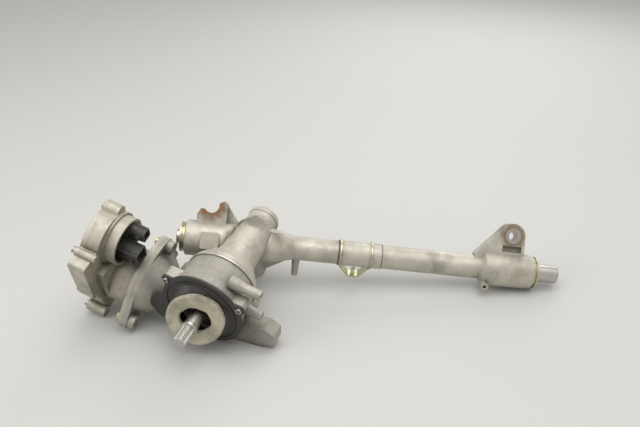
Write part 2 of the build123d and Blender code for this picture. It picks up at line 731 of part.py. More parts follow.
# ================================================================ rack housing
mount_axis = Vector(0, -cos(radians(MOUNT_LEAN)), sin(radians(MOUNT_LEAN)))
pad_dir = Vector(0, -cos(radians(PAD_ANGLE)), sin(radians(PAD_ANGLE)))
casting_end = HOUSING_LENGTH - SEAT_LENGTH
right_mount_x = HOUSING_LENGTH - RIGHT_MOUNT_INSET
boss_x = HOUSING_LENGTH - BOSS_INSET
right_body_start = HOUSING_LENGTH - SEAT_LENGTH - RIGHT_BODY_LENGTH


def across_mount(depth):
    """Plane square to the mounting holes: x along the rack, y up to the holes."""
    return Plane(origin=mount_axis * depth, x_dir=(1, 0, 0), z_dir=mount_axis)


def beside_body(y):
    """Plane square to the drain boss on the near side of the right body."""
    return Plane(origin=(boss_x, y, -BOSS_DROP), x_dir=(1, 0, 0), z_dir=(0, 1, 0))


with BuildPart() as rack_housing:
    turned(Plane.XZ, Axis.X, [
        (SEAT_LENGTH, 0),
        (SEAT_LENGTH, LEFT_BODY_RADIUS - 1.5),
        (SEAT_LENGTH + 1.5, LEFT_BODY_RADIUS),
        (NECK_START, LEFT_BODY_RADIUS),
        (NECK_START + NECK_LENGTH, TUBE_RADIUS),
        (SLEEVE_START, TUBE_RADIUS),
        (SLEEVE_START, SLEEVE_RADIUS),
        (SLEEVE_START + SLEEVE_LENGTH, SLEEVE_RADIUS),
        (SLEEVE_START + SLEEVE_LENGTH, TUBE_RADIUS),
        (right_body_start, TUBE_RADIUS),
        (right_body_start + RIGHT_BODY_TAPER, RIGHT_BODY_RADIUS),
        (casting_end - 12, RIGHT_BODY_RADIUS),
        (casting_end, RIGHT_BODY_RADIUS - 1.0),
        (casting_end, 0),
    ])
    turned(along_shaft, shaft_axis, [
        (TOWER_END, 0),
        (TOWER_END, TOWER_RADIUS - 2),
        (TOWER_END + 3, TOWER_RADIUS),
        (-14, TOWER_RADIUS),
        (-6, PINION_BODY_RADIUS),
        (PINION_BODY_END, PINION_BODY_RADIUS),
        (BELL_START, PINION_BODY_RADIUS + 4),
        (SEAM_STATION - SEAM_FLANGE - 4, SEAM_RADIUS - 2),
        (SEAM_STATION - SEAM_FLANGE, SEAM_RADIUS),
        (SEAM_STATION - SEAM_RIM_WIDTH, SEAM_RADIUS),
        (SEAM_STATION - SEAM_RIM_WIDTH, SEAM_RADIUS + SEAM_RIM),
        (SEAM_STATION, SEAM_RADIUS + SEAM_RIM),
        (SEAM_STATION, 0),
    ])
    rod(across_yoke(0), YOKE_BOSS_RADIUS, YOKE_BOSS_LENGTH)
    lugs(across_shaft(SEAM_STATION - SEAM_FLANGE), SEAM_LUG_ANGLES, SEAM_LUG_REACH, SEAM_LUG_RADIUS,
         SEAM_FLANGE)
    # web between the pinion tower and the tube
    tower_web, middle_web, tube_web = UPPER_WEB
    with BuildSketch(Plane.XZ):
        with BuildLine():
            Polyline((PINION_X, 0), (PINION_X + tower_web[0], tower_web[1]),
                     (NECK_START + middle_web[0], middle_web[1]), (NECK_START + tube_web[0], tube_web[1]),
                     (NECK_START + tube_web[0], 0), close=True)
        make_face()
    extrude(amount=UPPER_WEB_THICKNESS / 2, both=True)
    # web below, between the yoke boss and the tube
    with BuildSketch(Plane.XZ):
        with BuildLine():
            Polyline((PINION_X, 0), (PINION_X + YOKE_BOSS_RADIUS - 3, -LOWER_WEB_DROP),
                     (NECK_START + LOWER_WEB_END, -LOWER_WEB_END_DROP), (NECK_START + LOWER_WEB_END, 0),
                     close=True)
        make_face()
    extrude(amount=LOWER_WEB_THICKNESS / 2, both=True)
    # right mounting eye on its web
    with BuildSketch(across_mount(-EYE_WIDTH / 2)):
        with Locations((right_mount_x, MOUNT_RISE)):
            Circle(EYE_RADIUS)
        web_angle = radians(EYE_WEB_ANGLE)
        with BuildLine():
            Polyline((right_body_start - 8, 0), (right_body_start - 8, TUBE_RADIUS + 3),
                     (right_mount_x - EYE_RADIUS * cos(web_angle), MOUNT_RISE + EYE_RADIUS * sin(web_angle)),
                     (right_mount_x, MOUNT_RISE),
                     (right_mount_x + EYE_RADIUS, MOUNT_RISE), (right_mount_x + EYE_RADIUS + 1, 0),
                     close=True)
        make_face()
    extrude(amount=EYE_WIDTH)
    pocket_half = EYE_RADIUS - EYE_POCKET_WALL
    with BuildSketch(across_mount(EYE_WIDTH / 2 - EYE_POCKET + 1)):
        with BuildLine():
            Polyline((right_mount_x - pocket_half, MOUNT_RISE - EYE_POCKET_DROP),
                     (right_mount_x - pocket_half, RIGHT_BODY_RADIUS + 1),
                     (right_mount_x + pocket_half, RIGHT_BODY_RADIUS + 1),
                     (right_mount_x + pocket_half, MOUNT_RISE - EYE_POCKET_DROP), close=True)
        make_face()
    extrude(amount=EYE_POCKET, mode=Mode.SUBTRACT)
    # machined pad on the left body
    with BuildSketch(Plane(origin=(PAD_X, 0, 0), x_dir=(1, 0, 0), z_dir=pad_dir)) as pad:
        RectangleRounded(PAD_LENGTH, PAD_WIDTH, PAD_CORNER)
    extrude(pad.sketch, amount=PAD_RISE)
    # left saddle with its open notch, horn and fin
    crown = [(LEFT_MOUNT_X + x, MOUNT_RISE + y) for x, y in SADDLE_CROWN]
    with BuildSketch(across_mount(-EYE_WIDTH / 2)):
        with BuildLine():
            Polyline((crown[0][0], 0), *crown, (crown[-1][0], 0), close=True)
        make_face()
        with Locations((LEFT_MOUNT_X, MOUNT_RISE)):
            Circle(NOTCH_RADIUS, mode=Mode.SUBTRACT)
    extrude(amount=EYE_WIDTH)
    with BuildSketch(across_mount(-EYE_WIDTH / 2)):
        with BuildLine():
            Polyline((LEFT_MOUNT_X + FIN_START, 0), (LEFT_MOUNT_X + FIN_START, MOUNT_RISE + FIN_RISE),
                     (LEFT_MOUNT_X + FIN_END, MOUNT_RISE - FIN_DROP), (LEFT_MOUNT_X + FIN_END, 0),
                     close=True)
        make_face()
    extrude(amount=FIN_THICKNESS)
    # post and boss below the tube
    with BuildSketch(Plane(origin=(POST_X, 0, -POST_END), x_dir=(1, 0, 0), z_dir=(0, 0, 1))):
        Circle(POST_END_RADIUS)
    extrude(amount=POST_END - TUBE_RADIUS + 6, taper=-POST_TAPER)
    with BuildSketch(beside_body(-RIGHT_BODY_RADIUS - 6)):
        Circle(BOSS_RADIUS)
    extrude(amount=BOSS_LENGTH)
    # bores
    rod(across_rack(0), TUBE_BORE_RADIUS, HOUSING_LENGTH, Mode.SUBTRACT)
    rod(across_rack(0), RECESS_RADIUS, SEAT_LENGTH + RECESS_LEFT_DEPTH, Mode.SUBTRACT)
    rod(across_rack(casting_end - RECESS_RIGHT_DEPTH), RECESS_RADIUS, RECESS_RIGHT_DEPTH + 1, Mode.SUBTRACT)
    rod(across_shaft(TOWER_END - 1), TOWER_BORE_RADIUS, TOWER_CAP_THICKNESS + 6, Mode.SUBTRACT)
    rod(across_shaft(TOWER_END), NOSE_BEARING_RADIUS + SEAT_FIT, -TOWER_END - 10, Mode.SUBTRACT)
    rod(across_shaft(-PINION_FACE / 2 - 1), pinion_tip_radius + PINION_CLEARANCE, 60, Mode.SUBTRACT)
    rod(across_shaft(LOWER_BEARING_STATION), LOWER_BEARING_RADIUS + SEAT_FIT, SEAM_STATION, Mode.SUBTRACT)
    rod(across_yoke(0), YOKE_RADIUS + RUN_FIT, YOKE_BOSS_LENGTH + 1, Mode.SUBTRACT)
    with BuildSketch(across_mount(-EYE_WIDTH)):
        with Locations((right_mount_x, MOUNT_RISE)):
            Circle(EYE_BORE_RADIUS + SEAT_FIT)
    extrude(amount=2 * EYE_WIDTH, mode=Mode.SUBTRACT)
    with BuildSketch(beside_body(-RIGHT_BODY_RADIUS - 7)):
        Circle(BOSS_BORE)
    extrude(amount=9, mode=Mode.SUBTRACT)
    pins(across_shaft(SEAM_STATION - SEAM_FLANGE), SEAM_LUG_ANGLES, SEAM_LUG_REACH,
         SEAM_SCREW_RADIUS + SEAT_FIT, SEAM_FLANGE, Mode.SUBTRACT)
finish(rack_housing.part, "rack_housing")

with BuildPart() as tower_cap:
    with BuildSketch(across_shaft(TOWER_END + 1)):
        Circle(TOWER_BORE_RADIUS - SEAT_FIT)
    extrude(amount=TOWER_CAP_THICKNESS)
finish(tower_cap.part, "tower_cap")

with BuildPart() as eye_bushing:
    with BuildSketch(across_mount(-EYE_WIDTH / 2 - BUSHING_PROUD)):
        with Locations((right_mount_x, MOUNT_RISE)):
            Circle(EYE_BORE_RADIUS)
            Circle(BUSHING_BORE_RADIUS, mode=Mode.SUBTRACT)
    extrude(amount=EYE_WIDTH + 2 * BUSHING_PROUD)
finish(eye_bushing.part, "eye_bushing")


def boot_ring(name, face, inward, seat_radius):
    """Steel ring pressed into a recess, with a grooved seat for the boot outside it."""
    points = [
        (0, RING_BORE_RADIUS),
        (0, seat_radius),
        (SEAT_LENGTH / 2 - GROOVE_WIDTH / 2, seat_radius),
        (SEAT_LENGTH / 2 - GROOVE_WIDTH / 2, seat_radius - GROOVE_DEPTH),
        (SEAT_LENGTH / 2 + GROOVE_WIDTH / 2, seat_radius - GROOVE_DEPTH),
        (SEAT_LENGTH / 2 + GROOVE_WIDTH / 2, seat_radius),
        (SEAT_LENGTH, seat_radius),
        (SEAT_LENGTH, RECESS_RADIUS - SEAT_FIT),
        (SEAT_LENGTH + RING_DEPTH, RECESS_RADIUS - SEAT_FIT),
        (SEAT_LENGTH + RING_DEPTH, RING_BORE_RADIUS),
    ]
    with BuildPart() as ring:
        turned(Plane.XZ, Axis.X, [(face + inward * depth, radius) for depth, radius in points])
    finish(ring.part, name)


boot_ring("boot_ring_left", 0, 1, LEFT_SEAT_RADIUS)
boot_ring("boot_ring_right", HOUSING_LENGTH, -1, RIGHT_SEAT_RADIUS)

with BuildPart() as rack_bush:
    tube(across_rack(casting_end - RECESS_RIGHT_DEPTH), RECESS_RADIUS - SEAT_FIT, RACK_RADIUS + RUN_FIT,
         BUSH_LENGTH)
finish(rack_bush.part, "rack_bush")

# ================================================================ yoke
yoke_end = RACK_RADIUS + 4 + YOKE_LENGTH - 8
plug_start = YOKE_BOSS_LENGTH - 3 - YOKE_PLUG_LENGTH
spring_seat = yoke_end - 6

with BuildPart() as yoke_slipper:
    rod(across_yoke(4), YOKE_RADIUS, yoke_end - 4)
    rod(across_yoke(spring_seat), YOKE_SPRING_RADIUS + YOKE_SPRING_WIRE / 2 + 1, 7, Mode.SUBTRACT)
    rod(across_rack(PINION_X - YOKE_RADIUS - 1), RACK_RADIUS + RUN_FIT, 2 * YOKE_RADIUS + 2, Mode.SUBTRACT)
finish(yoke_slipper.part, "yoke_slipper")

spring_height = plug_start - spring_seat - YOKE_SPRING_WIRE
with BuildPart() as yoke_spring:
    with BuildLine():
        coil = Helix(spring_height / YOKE_SPRING_TURNS, spring_height, YOKE_SPRING_RADIUS,
                     center=Vector(PINION_X, 0, 0) - mesh_dir * (spring_seat + YOKE_SPRING_WIRE / 2),
                     direction=mesh_dir * -1)
    with BuildSketch(Plane(origin=coil @ 0, z_dir=coil % 0)):
        Circle(YOKE_SPRING_WIRE / 2)
    sweep(path=coil, is_frenet=True)
finish(yoke_spring.part, "yoke_spring")

with BuildPart() as yoke_plug:
    rod(across_yoke(plug_start), YOKE_RADIUS, YOKE_PLUG_LENGTH)
    with BuildSketch(across_yoke(plug_start + YOKE_PLUG_LENGTH - 7)):
        RegularPolygon(YOKE_SOCKET / 2, 6, major_radius=False)
    extrude(amount=8, mode=Mode.SUBTRACT)
finish(yoke_plug.part, "yoke_plug")

# ================================================================ gear housing
cover_start = DRUM_FRONT - COVER_THICKNESS
flange_start = MOTOR_FACE - FLANGE_THICKNESS
upper_ear_angle, upper_ear_reach = EARS[1]
ear_dir = shaft_dir * cos(radians(upper_ear_angle)) - rise_dir * sin(radians(upper_ear_angle))


def beside_drum(along, rise):
    """Plane square to the worm axis, beside the drum, at a height above the pinion axis."""
    centre = crossing + shaft_dir * SIDE_BOSS_STATION + drive_dir * along + rise_dir * rise
    return Plane(origin=centre, x_dir=shaft_dir, z_dir=drive_dir)


def ear_pins(plane, radius, length, mode=Mode.ADD):
    """Cylinders at the motor's two ears."""
    for angle, reach in EARS:
        pins(plane, (angle,), reach, radius, length, mode)


def motor_flange(start, thickness):
    """Lozenge plate with an ear at each end and a raised corner."""
    with BuildSketch(across_worm(-start)) as plate:
        Circle(FLANGE_RADIUS)
        for angle, reach in EARS:
            with PolarLocations(reach, 1, start_angle=angle):
                Circle(EAR_RADIUS)
        with Locations(FLANGE_CORNER):
            Circle(FLANGE_CORNER_RADIUS)
        make_hull()
    extrude(plate.sketch, amount=thickness)


with BuildPart() as gear_housing:
    turned(along_shaft, shaft_axis, [
        (SEAM_STATION, 0),
        (SEAM_STATION, SEAM_RADIUS),
        (DRUM_FRONT - 14, DRUM_FRONT_RADIUS - 2),
        (DRUM_FRONT - 10, DRUM_FRONT_RADIUS),
        (DRUM_FRONT, DRUM_FRONT_RADIUS),
        (DRUM_FRONT, 0),
    ])
    turned(along_worm, worm_axis, [
        (WORM_TUBE_END, 0),
        (WORM_TUBE_END, WORM_TUBE_RADIUS - 2),
        (WORM_TUBE_END - 2, WORM_TUBE_RADIUS),
        (-FUNNEL_START, WORM_TUBE_RADIUS),
        (-flange_start, FLANGE_RADIUS),
        (-flange_start, 0),
    ])
    motor_flange(MOTOR_FACE, FLANGE_THICKNESS)
    ear_pins(across_worm(-flange_start), EAR_RADIUS - 1, EAR_BOSS_LENGTH - FLANGE_THICKNESS)
    with BuildSketch(across_worm(-flange_start)) as block:
        with PolarLocations(EAR_BLOCK_REACH, 1, start_angle=EAR_BLOCK_ANGLE):
            RectangleRounded(EAR_BLOCK_DEPTH, EAR_BLOCK_WIDTH, EAR_BLOCK_CORNER)
    extrude(block.sketch, amount=EAR_BOSS_LENGTH - FLANGE_THICKNESS)
    with BuildSketch(Plane(origin=worm_centre, x_dir=drive_dir, z_dir=drive_dir.cross(ear_dir))) as web:
        with BuildLine():
            Polyline((-flange_start, WORM_TUBE_RADIUS), (-flange_start, upper_ear_reach + 2),
                     (-flange_start + 6, upper_ear_reach), (-FUNNEL_START, WORM_TUBE_RADIUS + 2),
                     (-FUNNEL_START, WORM_TUBE_RADIUS - 3), close=True)
        make_face()
    extrude(web.sketch, amount=WEB_THICKNESS / 2, both=True)
    lugs(across_shaft(SEAM_STATION), SEAM_LUG_ANGLES, SEAM_LUG_REACH, SEAM_LUG_RADIUS, SEAM_LUG_DEPTH)
    lugs(across_shaft(DRUM_FRONT - COLLAR_BOSS_LENGTH), COLLAR_EAR_ANGLES, COLLAR_EAR_REACH,
         COLLAR_EAR_RADIUS, COLLAR_BOSS_LENGTH)
    for rise, start, end in SIDE_BOSSES:
        rod(beside_drum(start, rise), SIDE_BOSS_RADIUS, end - start)
        with BuildSketch(beside_drum(start, rise)) as root:
            Circle(SIDE_BOSS_RADIUS + (end - start) * tan(radians(SIDE_BOSS_TAPER)) / 2)
        extrude(root.sketch, amount=end - start - SIDE_BOSS_DRILL / 2, taper=SIDE_BOSS_TAPER)
    with BuildSketch(across_shaft(FOOT_START)) as foot:
        Polygon(*FOOT_OUTLINE, align=None)
    extrude(foot.sketch, amount=FOOT_WIDTH)
    # space for the worm wheel, with the boss that carries the pinion's upper bearing
    rod(across_shaft(GEAR_SPACE_START), DRUM_BORE_RADIUS, DRUM_FRONT, Mode.SUBTRACT)
    rod(across_shaft(cover_start), COVER_RADIUS + SEAT_FIT, DRUM_FRONT, Mode.SUBTRACT)
    rod(across_shaft(GEAR_SPACE_START - 1), COLUMN_BOSS_RADIUS, upper_bearing_station + UPPER_BEARING_WIDTH
        - GEAR_SPACE_START + 1)
    rod(across_shaft(upper_bearing_station), UPPER_BEARING_RADIUS + SEAT_FIT, UPPER_BEARING_WIDTH + 1,
        Mode.SUBTRACT)
    rod(across_shaft(SEAM_STATION - 1), COLUMN_HOLE_RADIUS, upper_bearing_station - SEAM_STATION + 2,
        Mode.SUBTRACT)
    # bore for the worm, its bearings and the coupling
    rod(across_worm(-FUNNEL_START - 10), WORM_BEARING_RADIUS + SEAT_FIT,
        FUNNEL_START + 10 + worm_right_bearing + WORM_BEARING_WIDTH + SEAT_FIT, Mode.SUBTRACT)
    rod(across_worm(retainer_station - SEAT_FIT), RETAINER_RADIUS + SEAT_FIT, RETAINER_WIDTH + 2 * SEAT_FIT,
        Mode.SUBTRACT)
    rod(across_worm(worm_right_bearing), COLUMN_HOLE_RADIUS - 3, WORM_BEARING_WIDTH + 6, Mode.SUBTRACT)
    turned(along_worm, worm_axis, [
        (-MOTOR_FACE - 1, 0),
        (-MOTOR_FACE - 1, PILOT_RADIUS + SEAT_FIT),
        (-MOTOR_FACE + PILOT_LENGTH + 0.5, PILOT_RADIUS + SEAT_FIT),
        (-MOTOR_FACE + PILOT_LENGTH + 0.5, PILOT_RADIUS - 3),
        (-FUNNEL_START - 8, WORM_BEARING_RADIUS),
        (-FUNNEL_START - 8, 0),
    ], Mode.SUBTRACT)
    # room for the dust collar's plate and its lobe
    rod(across_shaft(DRUM_FRONT), COLLAR_RADIUS + 1, MOTOR_FACE, Mode.SUBTRACT)
    with BuildSketch(across_shaft(DRUM_FRONT)) as lobe_room:
        with Locations((LOBE_X, LOBE_Y)):
            Circle(LOBE_RADIUS + 1)
    extrude(lobe_room.sketch, amount=COLLAR_BOSS_LENGTH, mode=Mode.SUBTRACT)
    # screw holes
    ear_pins(across_worm(-MOTOR_FACE), EAR_SCREW_RADIUS + SEAT_FIT, EAR_BOSS_LENGTH, Mode.SUBTRACT)
    pins(across_shaft(SEAM_STATION), SEAM_LUG_ANGLES, SEAM_LUG_REACH, SEAM_SCREW_RADIUS + SEAT_FIT,
         SEAM_LUG_DEPTH - 2, Mode.SUBTRACT)
    pins(across_shaft(DRUM_FRONT - COLLAR_BOSS_LENGTH + 2), COLLAR_EAR_ANGLES, COLLAR_EAR_REACH,
         SCREW_RADIUS + SEAT_FIT, COLLAR_BOSS_LENGTH, Mode.SUBTRACT)
    for rise, start, end in SIDE_BOSSES:
        rod(beside_drum(end - SIDE_BOSS_DRILL, rise), SIDE_BOSS_BORE, SIDE_BOSS_DRILL + 1, Mode.SUBTRACT)
finish(gear_housing.part, "gear_housing")

with BuildPart() as housing_screws:
    pins(across_shaft(SEAM_STATION - SEAM_FLANGE), SEAM_LUG_ANGLES, SEAM_LUG_REACH, SEAM_SCREW_RADIUS,
         SEAM_FLANGE + SEAM_LUG_DEPTH - 3)
    pins(across_shaft(SEAM_STATION - SEAM_FLANGE - SEAM_HEAD_HEIGHT), SEAM_LUG_ANGLES, SEAM_LUG_REACH,
         SEAM_HEAD_RADIUS, SEAM_HEAD_HEIGHT)
finish(housing_screws.part, "housing_screws")

# ================================================================ front cover, sensor and input shaft
seal_station = DRUM_FRONT - SEAL_WIDTH
input_bearing_station = seal_station - 0.1 - INPUT_BEARING_WIDTH
sensor_station = cover_start - SENSOR_WIDTH

with BuildPart() as front_cover:
    turned(along_shaft, shaft_axis, [
        (cover_start, INPUT_RADIUS + 2),
        (cover_start, COVER_RADIUS),
        (DRUM_FRONT, COVER_RADIUS),
        (DRUM_FRONT, COVER_RADIUS - 9),
        (DRUM_FRONT - 5, COVER_RADIUS - 11),
        (DRUM_FRONT - 5, INPUT_BEARING_RADIUS + 6),
        (DRUM_FRONT, INPUT_BEARING_RADIUS + 4),
        (DRUM_FRONT, INPUT_BEARING_RADIUS + SEAT_FIT),
        (input_bearing_station, INPUT_BEARING_RADIUS + SEAT_FIT),
        (input_bearing_station, INPUT_RADIUS + 2),
    ])
finish(front_cover.part, "front_cover")

ball_bearing("input_bearing", across_shaft, [input_bearing_station], INPUT_RADIUS, INPUT_BEARING_RADIUS,
             INPUT_BEARING_WIDTH)

with BuildPart() as input_seal:
    tube(across_shaft(seal_station), INPUT_BEARING_RADIUS, INPUT_RADIUS + RUN_FIT, SEAL_WIDTH)
finish(input_seal.part, "input_seal")

with BuildPart() as torque_sensor:
    tube(across_shaft(sensor_station), SENSOR_RADIUS, SENSOR_BORE, SENSOR_WIDTH)
finish(torque_sensor.part, "torque_sensor")

with BuildPart() as sensor_magnet:
    tube(across_shaft(sensor_station + 0.2), MAGNET_RADIUS, INPUT_RADIUS, SENSOR_WIDTH - 0.4)
finish(sensor_magnet.part, "sensor_magnet")

spline_start = INPUT_END - SPLINE_LENGTH
torsion_end = INPUT_END - TORSION_TOP
with BuildPart() as input_shaft:
    turned(along_shaft, shaft_axis, [
        (spigot_start + FACE_GAP, 0),
        (spigot_start + FACE_GAP, SPIGOT_RADIUS),
        (wheel_end + FACE_GAP, SPIGOT_RADIUS),
        (wheel_end + FACE_GAP, INPUT_RADIUS),
        (spline_start - 6, INPUT_RADIUS),
        (spline_start - 5, SHOULDER_RADIUS),
        (spline_start - 1, SHOULDER_RADIUS),
        (spline_start, SPLINE_RADIUS),
        (INPUT_END - 1, SPLINE_RADIUS),
        (INPUT_END, SPLINE_RADIUS - 1),
        (INPUT_END, 0),
    ])
    rod(across_shaft(spigot_start), TORSION_HEAD_RADIUS + SEAT_FIT, torsion_end - spigot_start,
        Mode.SUBTRACT)
    with BuildSketch(across_shaft(spline_start)) as splines:
        with PolarLocations(SPLINE_RADIUS, SPLINE_TEETH):
            Polygon((0.1, -SPLINE_DEPTH), (0.1, SPLINE_DEPTH), (-SPLINE_DEPTH, 0), align=None)
    extrude(splines.sketch, amount=SPLINE_LENGTH + 1, mode=Mode.SUBTRACT)
finish(input_shaft.part, "input_shaft")

with BuildPart() as torsion_bar:
    turned(along_shaft, shaft_axis, [
        (TORSION_START, 0),
        (TORSION_START, TORSION_HEAD_RADIUS),
        (TORSION_START + TORSION_HEAD_LENGTH, TORSION_HEAD_RADIUS),
        (TORSION_START + TORSION_HEAD_LENGTH + 2, TORSION_RADIUS),
        (torsion_end - TORSION_HEAD_LENGTH - 2, TORSION_RADIUS),
        (torsion_end - TORSION_HEAD_LENGTH, TORSION_HEAD_RADIUS),
        (torsion_end, TORSION_HEAD_RADIUS),
        (torsion_end, 0),
    ])
finish(torsion_bar.part, "torsion_bar")

# ================================================================ dust collar and foam ring
lean = radians(COLLAR_TILT)
low_side = drive_dir * cos(radians(COLLAR_TILT_AIM)) + rise_dir * sin(radians(COLLAR_TILT_AIM))
mouth_dir = shaft_dir * cos(lean) + low_side * sin(lean)
mouth_station = DRUM_FRONT + COLLAR_PLATE + FACE_GAP + FOAM_OUTER_RADIUS * sin(lean)
mouth_centre = crossing + shaft_dir * mouth_station


def across_mouth(height):
    """Plane along the collar's leaning mouth."""
    return Plane(origin=mouth_centre + mouth_dir * height, x_dir=drive_dir, z_dir=mouth_dir)


with BuildPart() as dust_collar:
    # leaning cup, from its round base on the drum to its mouth
    with BuildSketch(across_shaft(DRUM_FRONT)) as cup_base:
        Circle(COLLAR_BASE_RADIUS)
    with BuildSketch(across_mouth(0)) as cup_rim:
        Circle(COLLAR_RIM_RADIUS)
    loft([cup_base.sketch, cup_rim.sketch])
    with BuildSketch(across_shaft(DRUM_FRONT)) as plate:
        Circle(COLLAR_RADIUS)
        with Locations((LOBE_X, LOBE_Y)):
            Circle(LOBE_RADIUS)
    extrude(plate.sketch, amount=COLLAR_PLATE)
    lugs(across_shaft(DRUM_FRONT), COLLAR_EAR_ANGLES, COLLAR_EAR_REACH, COLLAR_EAR_RADIUS, COLLAR_PLATE)
    with BuildSketch(across_shaft(DRUM_FRONT - 1)) as room_base:
        Circle(COLLAR_BASE_RADIUS - COLLAR_WALL)
    with BuildSketch(across_mouth(-COLLAR_WALL)) as room_rim:
        Circle(COLLAR_RIM_RADIUS - COLLAR_WALL)
    loft([room_base.sketch, room_rim.sketch], mode=Mode.SUBTRACT)
    rod(across_mouth(-4 * COLLAR_WALL), COLLAR_MOUTH_RADIUS, 5 * COLLAR_WALL, Mode.SUBTRACT)
    with BuildSketch(across_shaft(DRUM_FRONT + COLLAR_PLATE - COLLAR_GROOVE_DEPTH)) as groove:
        Circle(COLLAR_GROOVE_RADIUS + COLLAR_GROOVE_WIDTH / 2)
        Circle(COLLAR_GROOVE_RADIUS - COLLAR_GROOVE_WIDTH / 2, mode=Mode.SUBTRACT)
    extrude(groove.sketch, amount=COLLAR_GROOVE_DEPTH, mode=Mode.SUBTRACT)
    pins(across_shaft(DRUM_FRONT), COLLAR_EAR_ANGLES, COLLAR_EAR_REACH, SCREW_RADIUS + SEAT_FIT,
         COLLAR_PLATE, Mode.SUBTRACT)
finish(dust_collar.part, "dust_collar")

with BuildPart() as collar_screws:
    pins(across_shaft(DRUM_FRONT + COLLAR_PLATE - SCREW_LENGTH), COLLAR_EAR_ANGLES, COLLAR_EAR_REACH,
         SCREW_RADIUS, SCREW_LENGTH)
    pins(across_shaft(DRUM_FRONT + COLLAR_PLATE), COLLAR_EAR_ANGLES, COLLAR_EAR_REACH, SCREW_HEAD_RADIUS,
         SCREW_HEAD_HEIGHT)
finish(collar_screws.part, "collar_screws")

with BuildPart() as foam_seal:
    tube(across_mouth(0), FOAM_OUTER_RADIUS, FOAM_INNER_RADIUS, FOAM_THICKNESS)
finish(foam_seal.part, "foam_seal")

# ================================================================ worm bearings and coupling
ball_bearing("worm_bearings", across_worm, [worm_left_bearing, worm_right_bearing], WORM_SHAFT_RADIUS,
             WORM_BEARING_RADIUS, WORM_BEARING_WIDTH)

with BuildPart() as worm_retainer:
    tube(across_worm(retainer_station), RETAINER_RADIUS, RETAINER_BORE, RETAINER_WIDTH)
finish(worm_retainer.part, "worm_retainer")

jaw_start = -coupling_end - COUPLING_HUB
motor_hub_start = jaw_start - COUPLING_JAW - COUPLING_HUB


def jaws(first_angle, count, width, start, length):
    """Sectors of a ring, evenly spread round the worm axis."""
    reach = 2 * COUPLING_RADIUS
    half = reach * tan(radians(width / 2))
    with BuildSketch(across_worm(start)) as sectors:
        with PolarLocations(0, count, start_angle=first_angle):
            Polygon((0, 0), (reach, -half), (reach, half), align=None)
        Circle(COUPLING_RADIUS, mode=Mode.INTERSECT)
        Circle(COUPLING_EYE, mode=Mode.SUBTRACT)
    extrude(sectors.sketch, amount=length)


with BuildPart() as coupling_worm:
    tube(across_worm(jaw_start), COUPLING_RADIUS, WORM_SHAFT_RADIUS, COUPLING_HUB)
    jaws(0, 3, COUPLING_JAW_WIDTH, jaw_start - COUPLING_JAW + FACE_GAP, COUPLING_JAW - FACE_GAP)
finish(coupling_worm.part, "coupling_worm")

with BuildPart() as coupling_motor:
    tube(across_worm(motor_hub_start), COUPLING_RADIUS, MOTOR_SHAFT_RADIUS, COUPLING_HUB)
    jaws(60, 3, COUPLING_JAW_WIDTH, motor_hub_start + COUPLING_HUB, COUPLING_JAW - FACE_GAP)
finish(coupling_motor.part, "coupling_motor")

with BuildPart() as coupling_spider:
    jaws(30, 6, 60 - COUPLING_JAW_WIDTH, jaw_start - COUPLING_JAW + FACE_GAP, COUPLING_JAW - 2 * FACE_GAP)
    tube(across_worm(jaw_start - COUPLING_JAW + FACE_GAP), COUPLING_EYE, COUPLING_EYE - 2,
         COUPLING_JAW - 2 * FACE_GAP)
finish(coupling_spider.part, "coupling_spider")

# ================================================================ motor
motor_front = MOTOR_FACE + MOTOR_FLANGE
motor_rear = MOTOR_FACE + MOTOR_LENGTH
motor_bore = MOTOR_RADIUS - MOTOR_WALL
front_bearing = motor_front
rear_bearing = motor_rear - FACE_GAP
stator_end = motor_front + STATOR_SETBACK + STATOR_LENGTH

with BuildPart() as motor_housing:
    motor_flange(motor_front, MOTOR_FLANGE)
    turned(along_worm, worm_axis, [
        (-motor_rear, motor_bore),
        (-motor_rear, MOTOR_RADIUS - MOTOR_BEVEL),
        (-motor_rear + MOTOR_BEVEL, MOTOR_RADIUS),
        (-motor_front, MOTOR_RADIUS),
        (-motor_front, motor_bore),
    ])
    rod(across_worm(-MOTOR_FACE), PILOT_RADIUS, PILOT_LENGTH)
    rod(across_worm(-MOTOR_FACE), PILOT_RADIUS - 4, PILOT_LENGTH + 1, Mode.SUBTRACT)
    rod(across_worm(-front_bearing), MOTOR_BEARING_RADIUS + SEAT_FIT, MOTOR_BEARING_WIDTH, Mode.SUBTRACT)
    ear_pins(across_worm(-motor_front), EAR_SCREW_RADIUS + SEAT_FIT, MOTOR_FLANGE, Mode.SUBTRACT)
finish(motor_housing.part, "motor_housing")

with BuildPart() as motor_screws:
    ear_pins(across_worm(-motor_front), EAR_SCREW_RADIUS, MOTOR_FLANGE + EAR_BOSS_LENGTH - 1)
    ear_pins(across_worm(-motor_front - EAR_HEAD_HEIGHT), EAR_HEAD_RADIUS, EAR_HEAD_HEIGHT)
finish(motor_screws.part, "motor_screws")

with BuildPart() as motor_end_plate:
    tube(across_worm(-motor_rear), motor_bore - SEAT_FIT, MOTOR_BEARING_RADIUS + SEAT_FIT, END_PLATE)
    tube(across_worm(-motor_rear + END_PLATE), MOTOR_BEARING_RADIUS + MOTOR_WALL,
         MOTOR_BEARING_RADIUS + SEAT_FIT, MOTOR_BEARING_WIDTH - END_PLATE)
finish(motor_end_plate.part, "motor_end_plate")

ball_bearing("motor_bearings", across_worm, [-rear_bearing, -front_bearing], MOTOR_SHAFT_RADIUS,
             MOTOR_BEARING_RADIUS, MOTOR_BEARING_WIDTH)

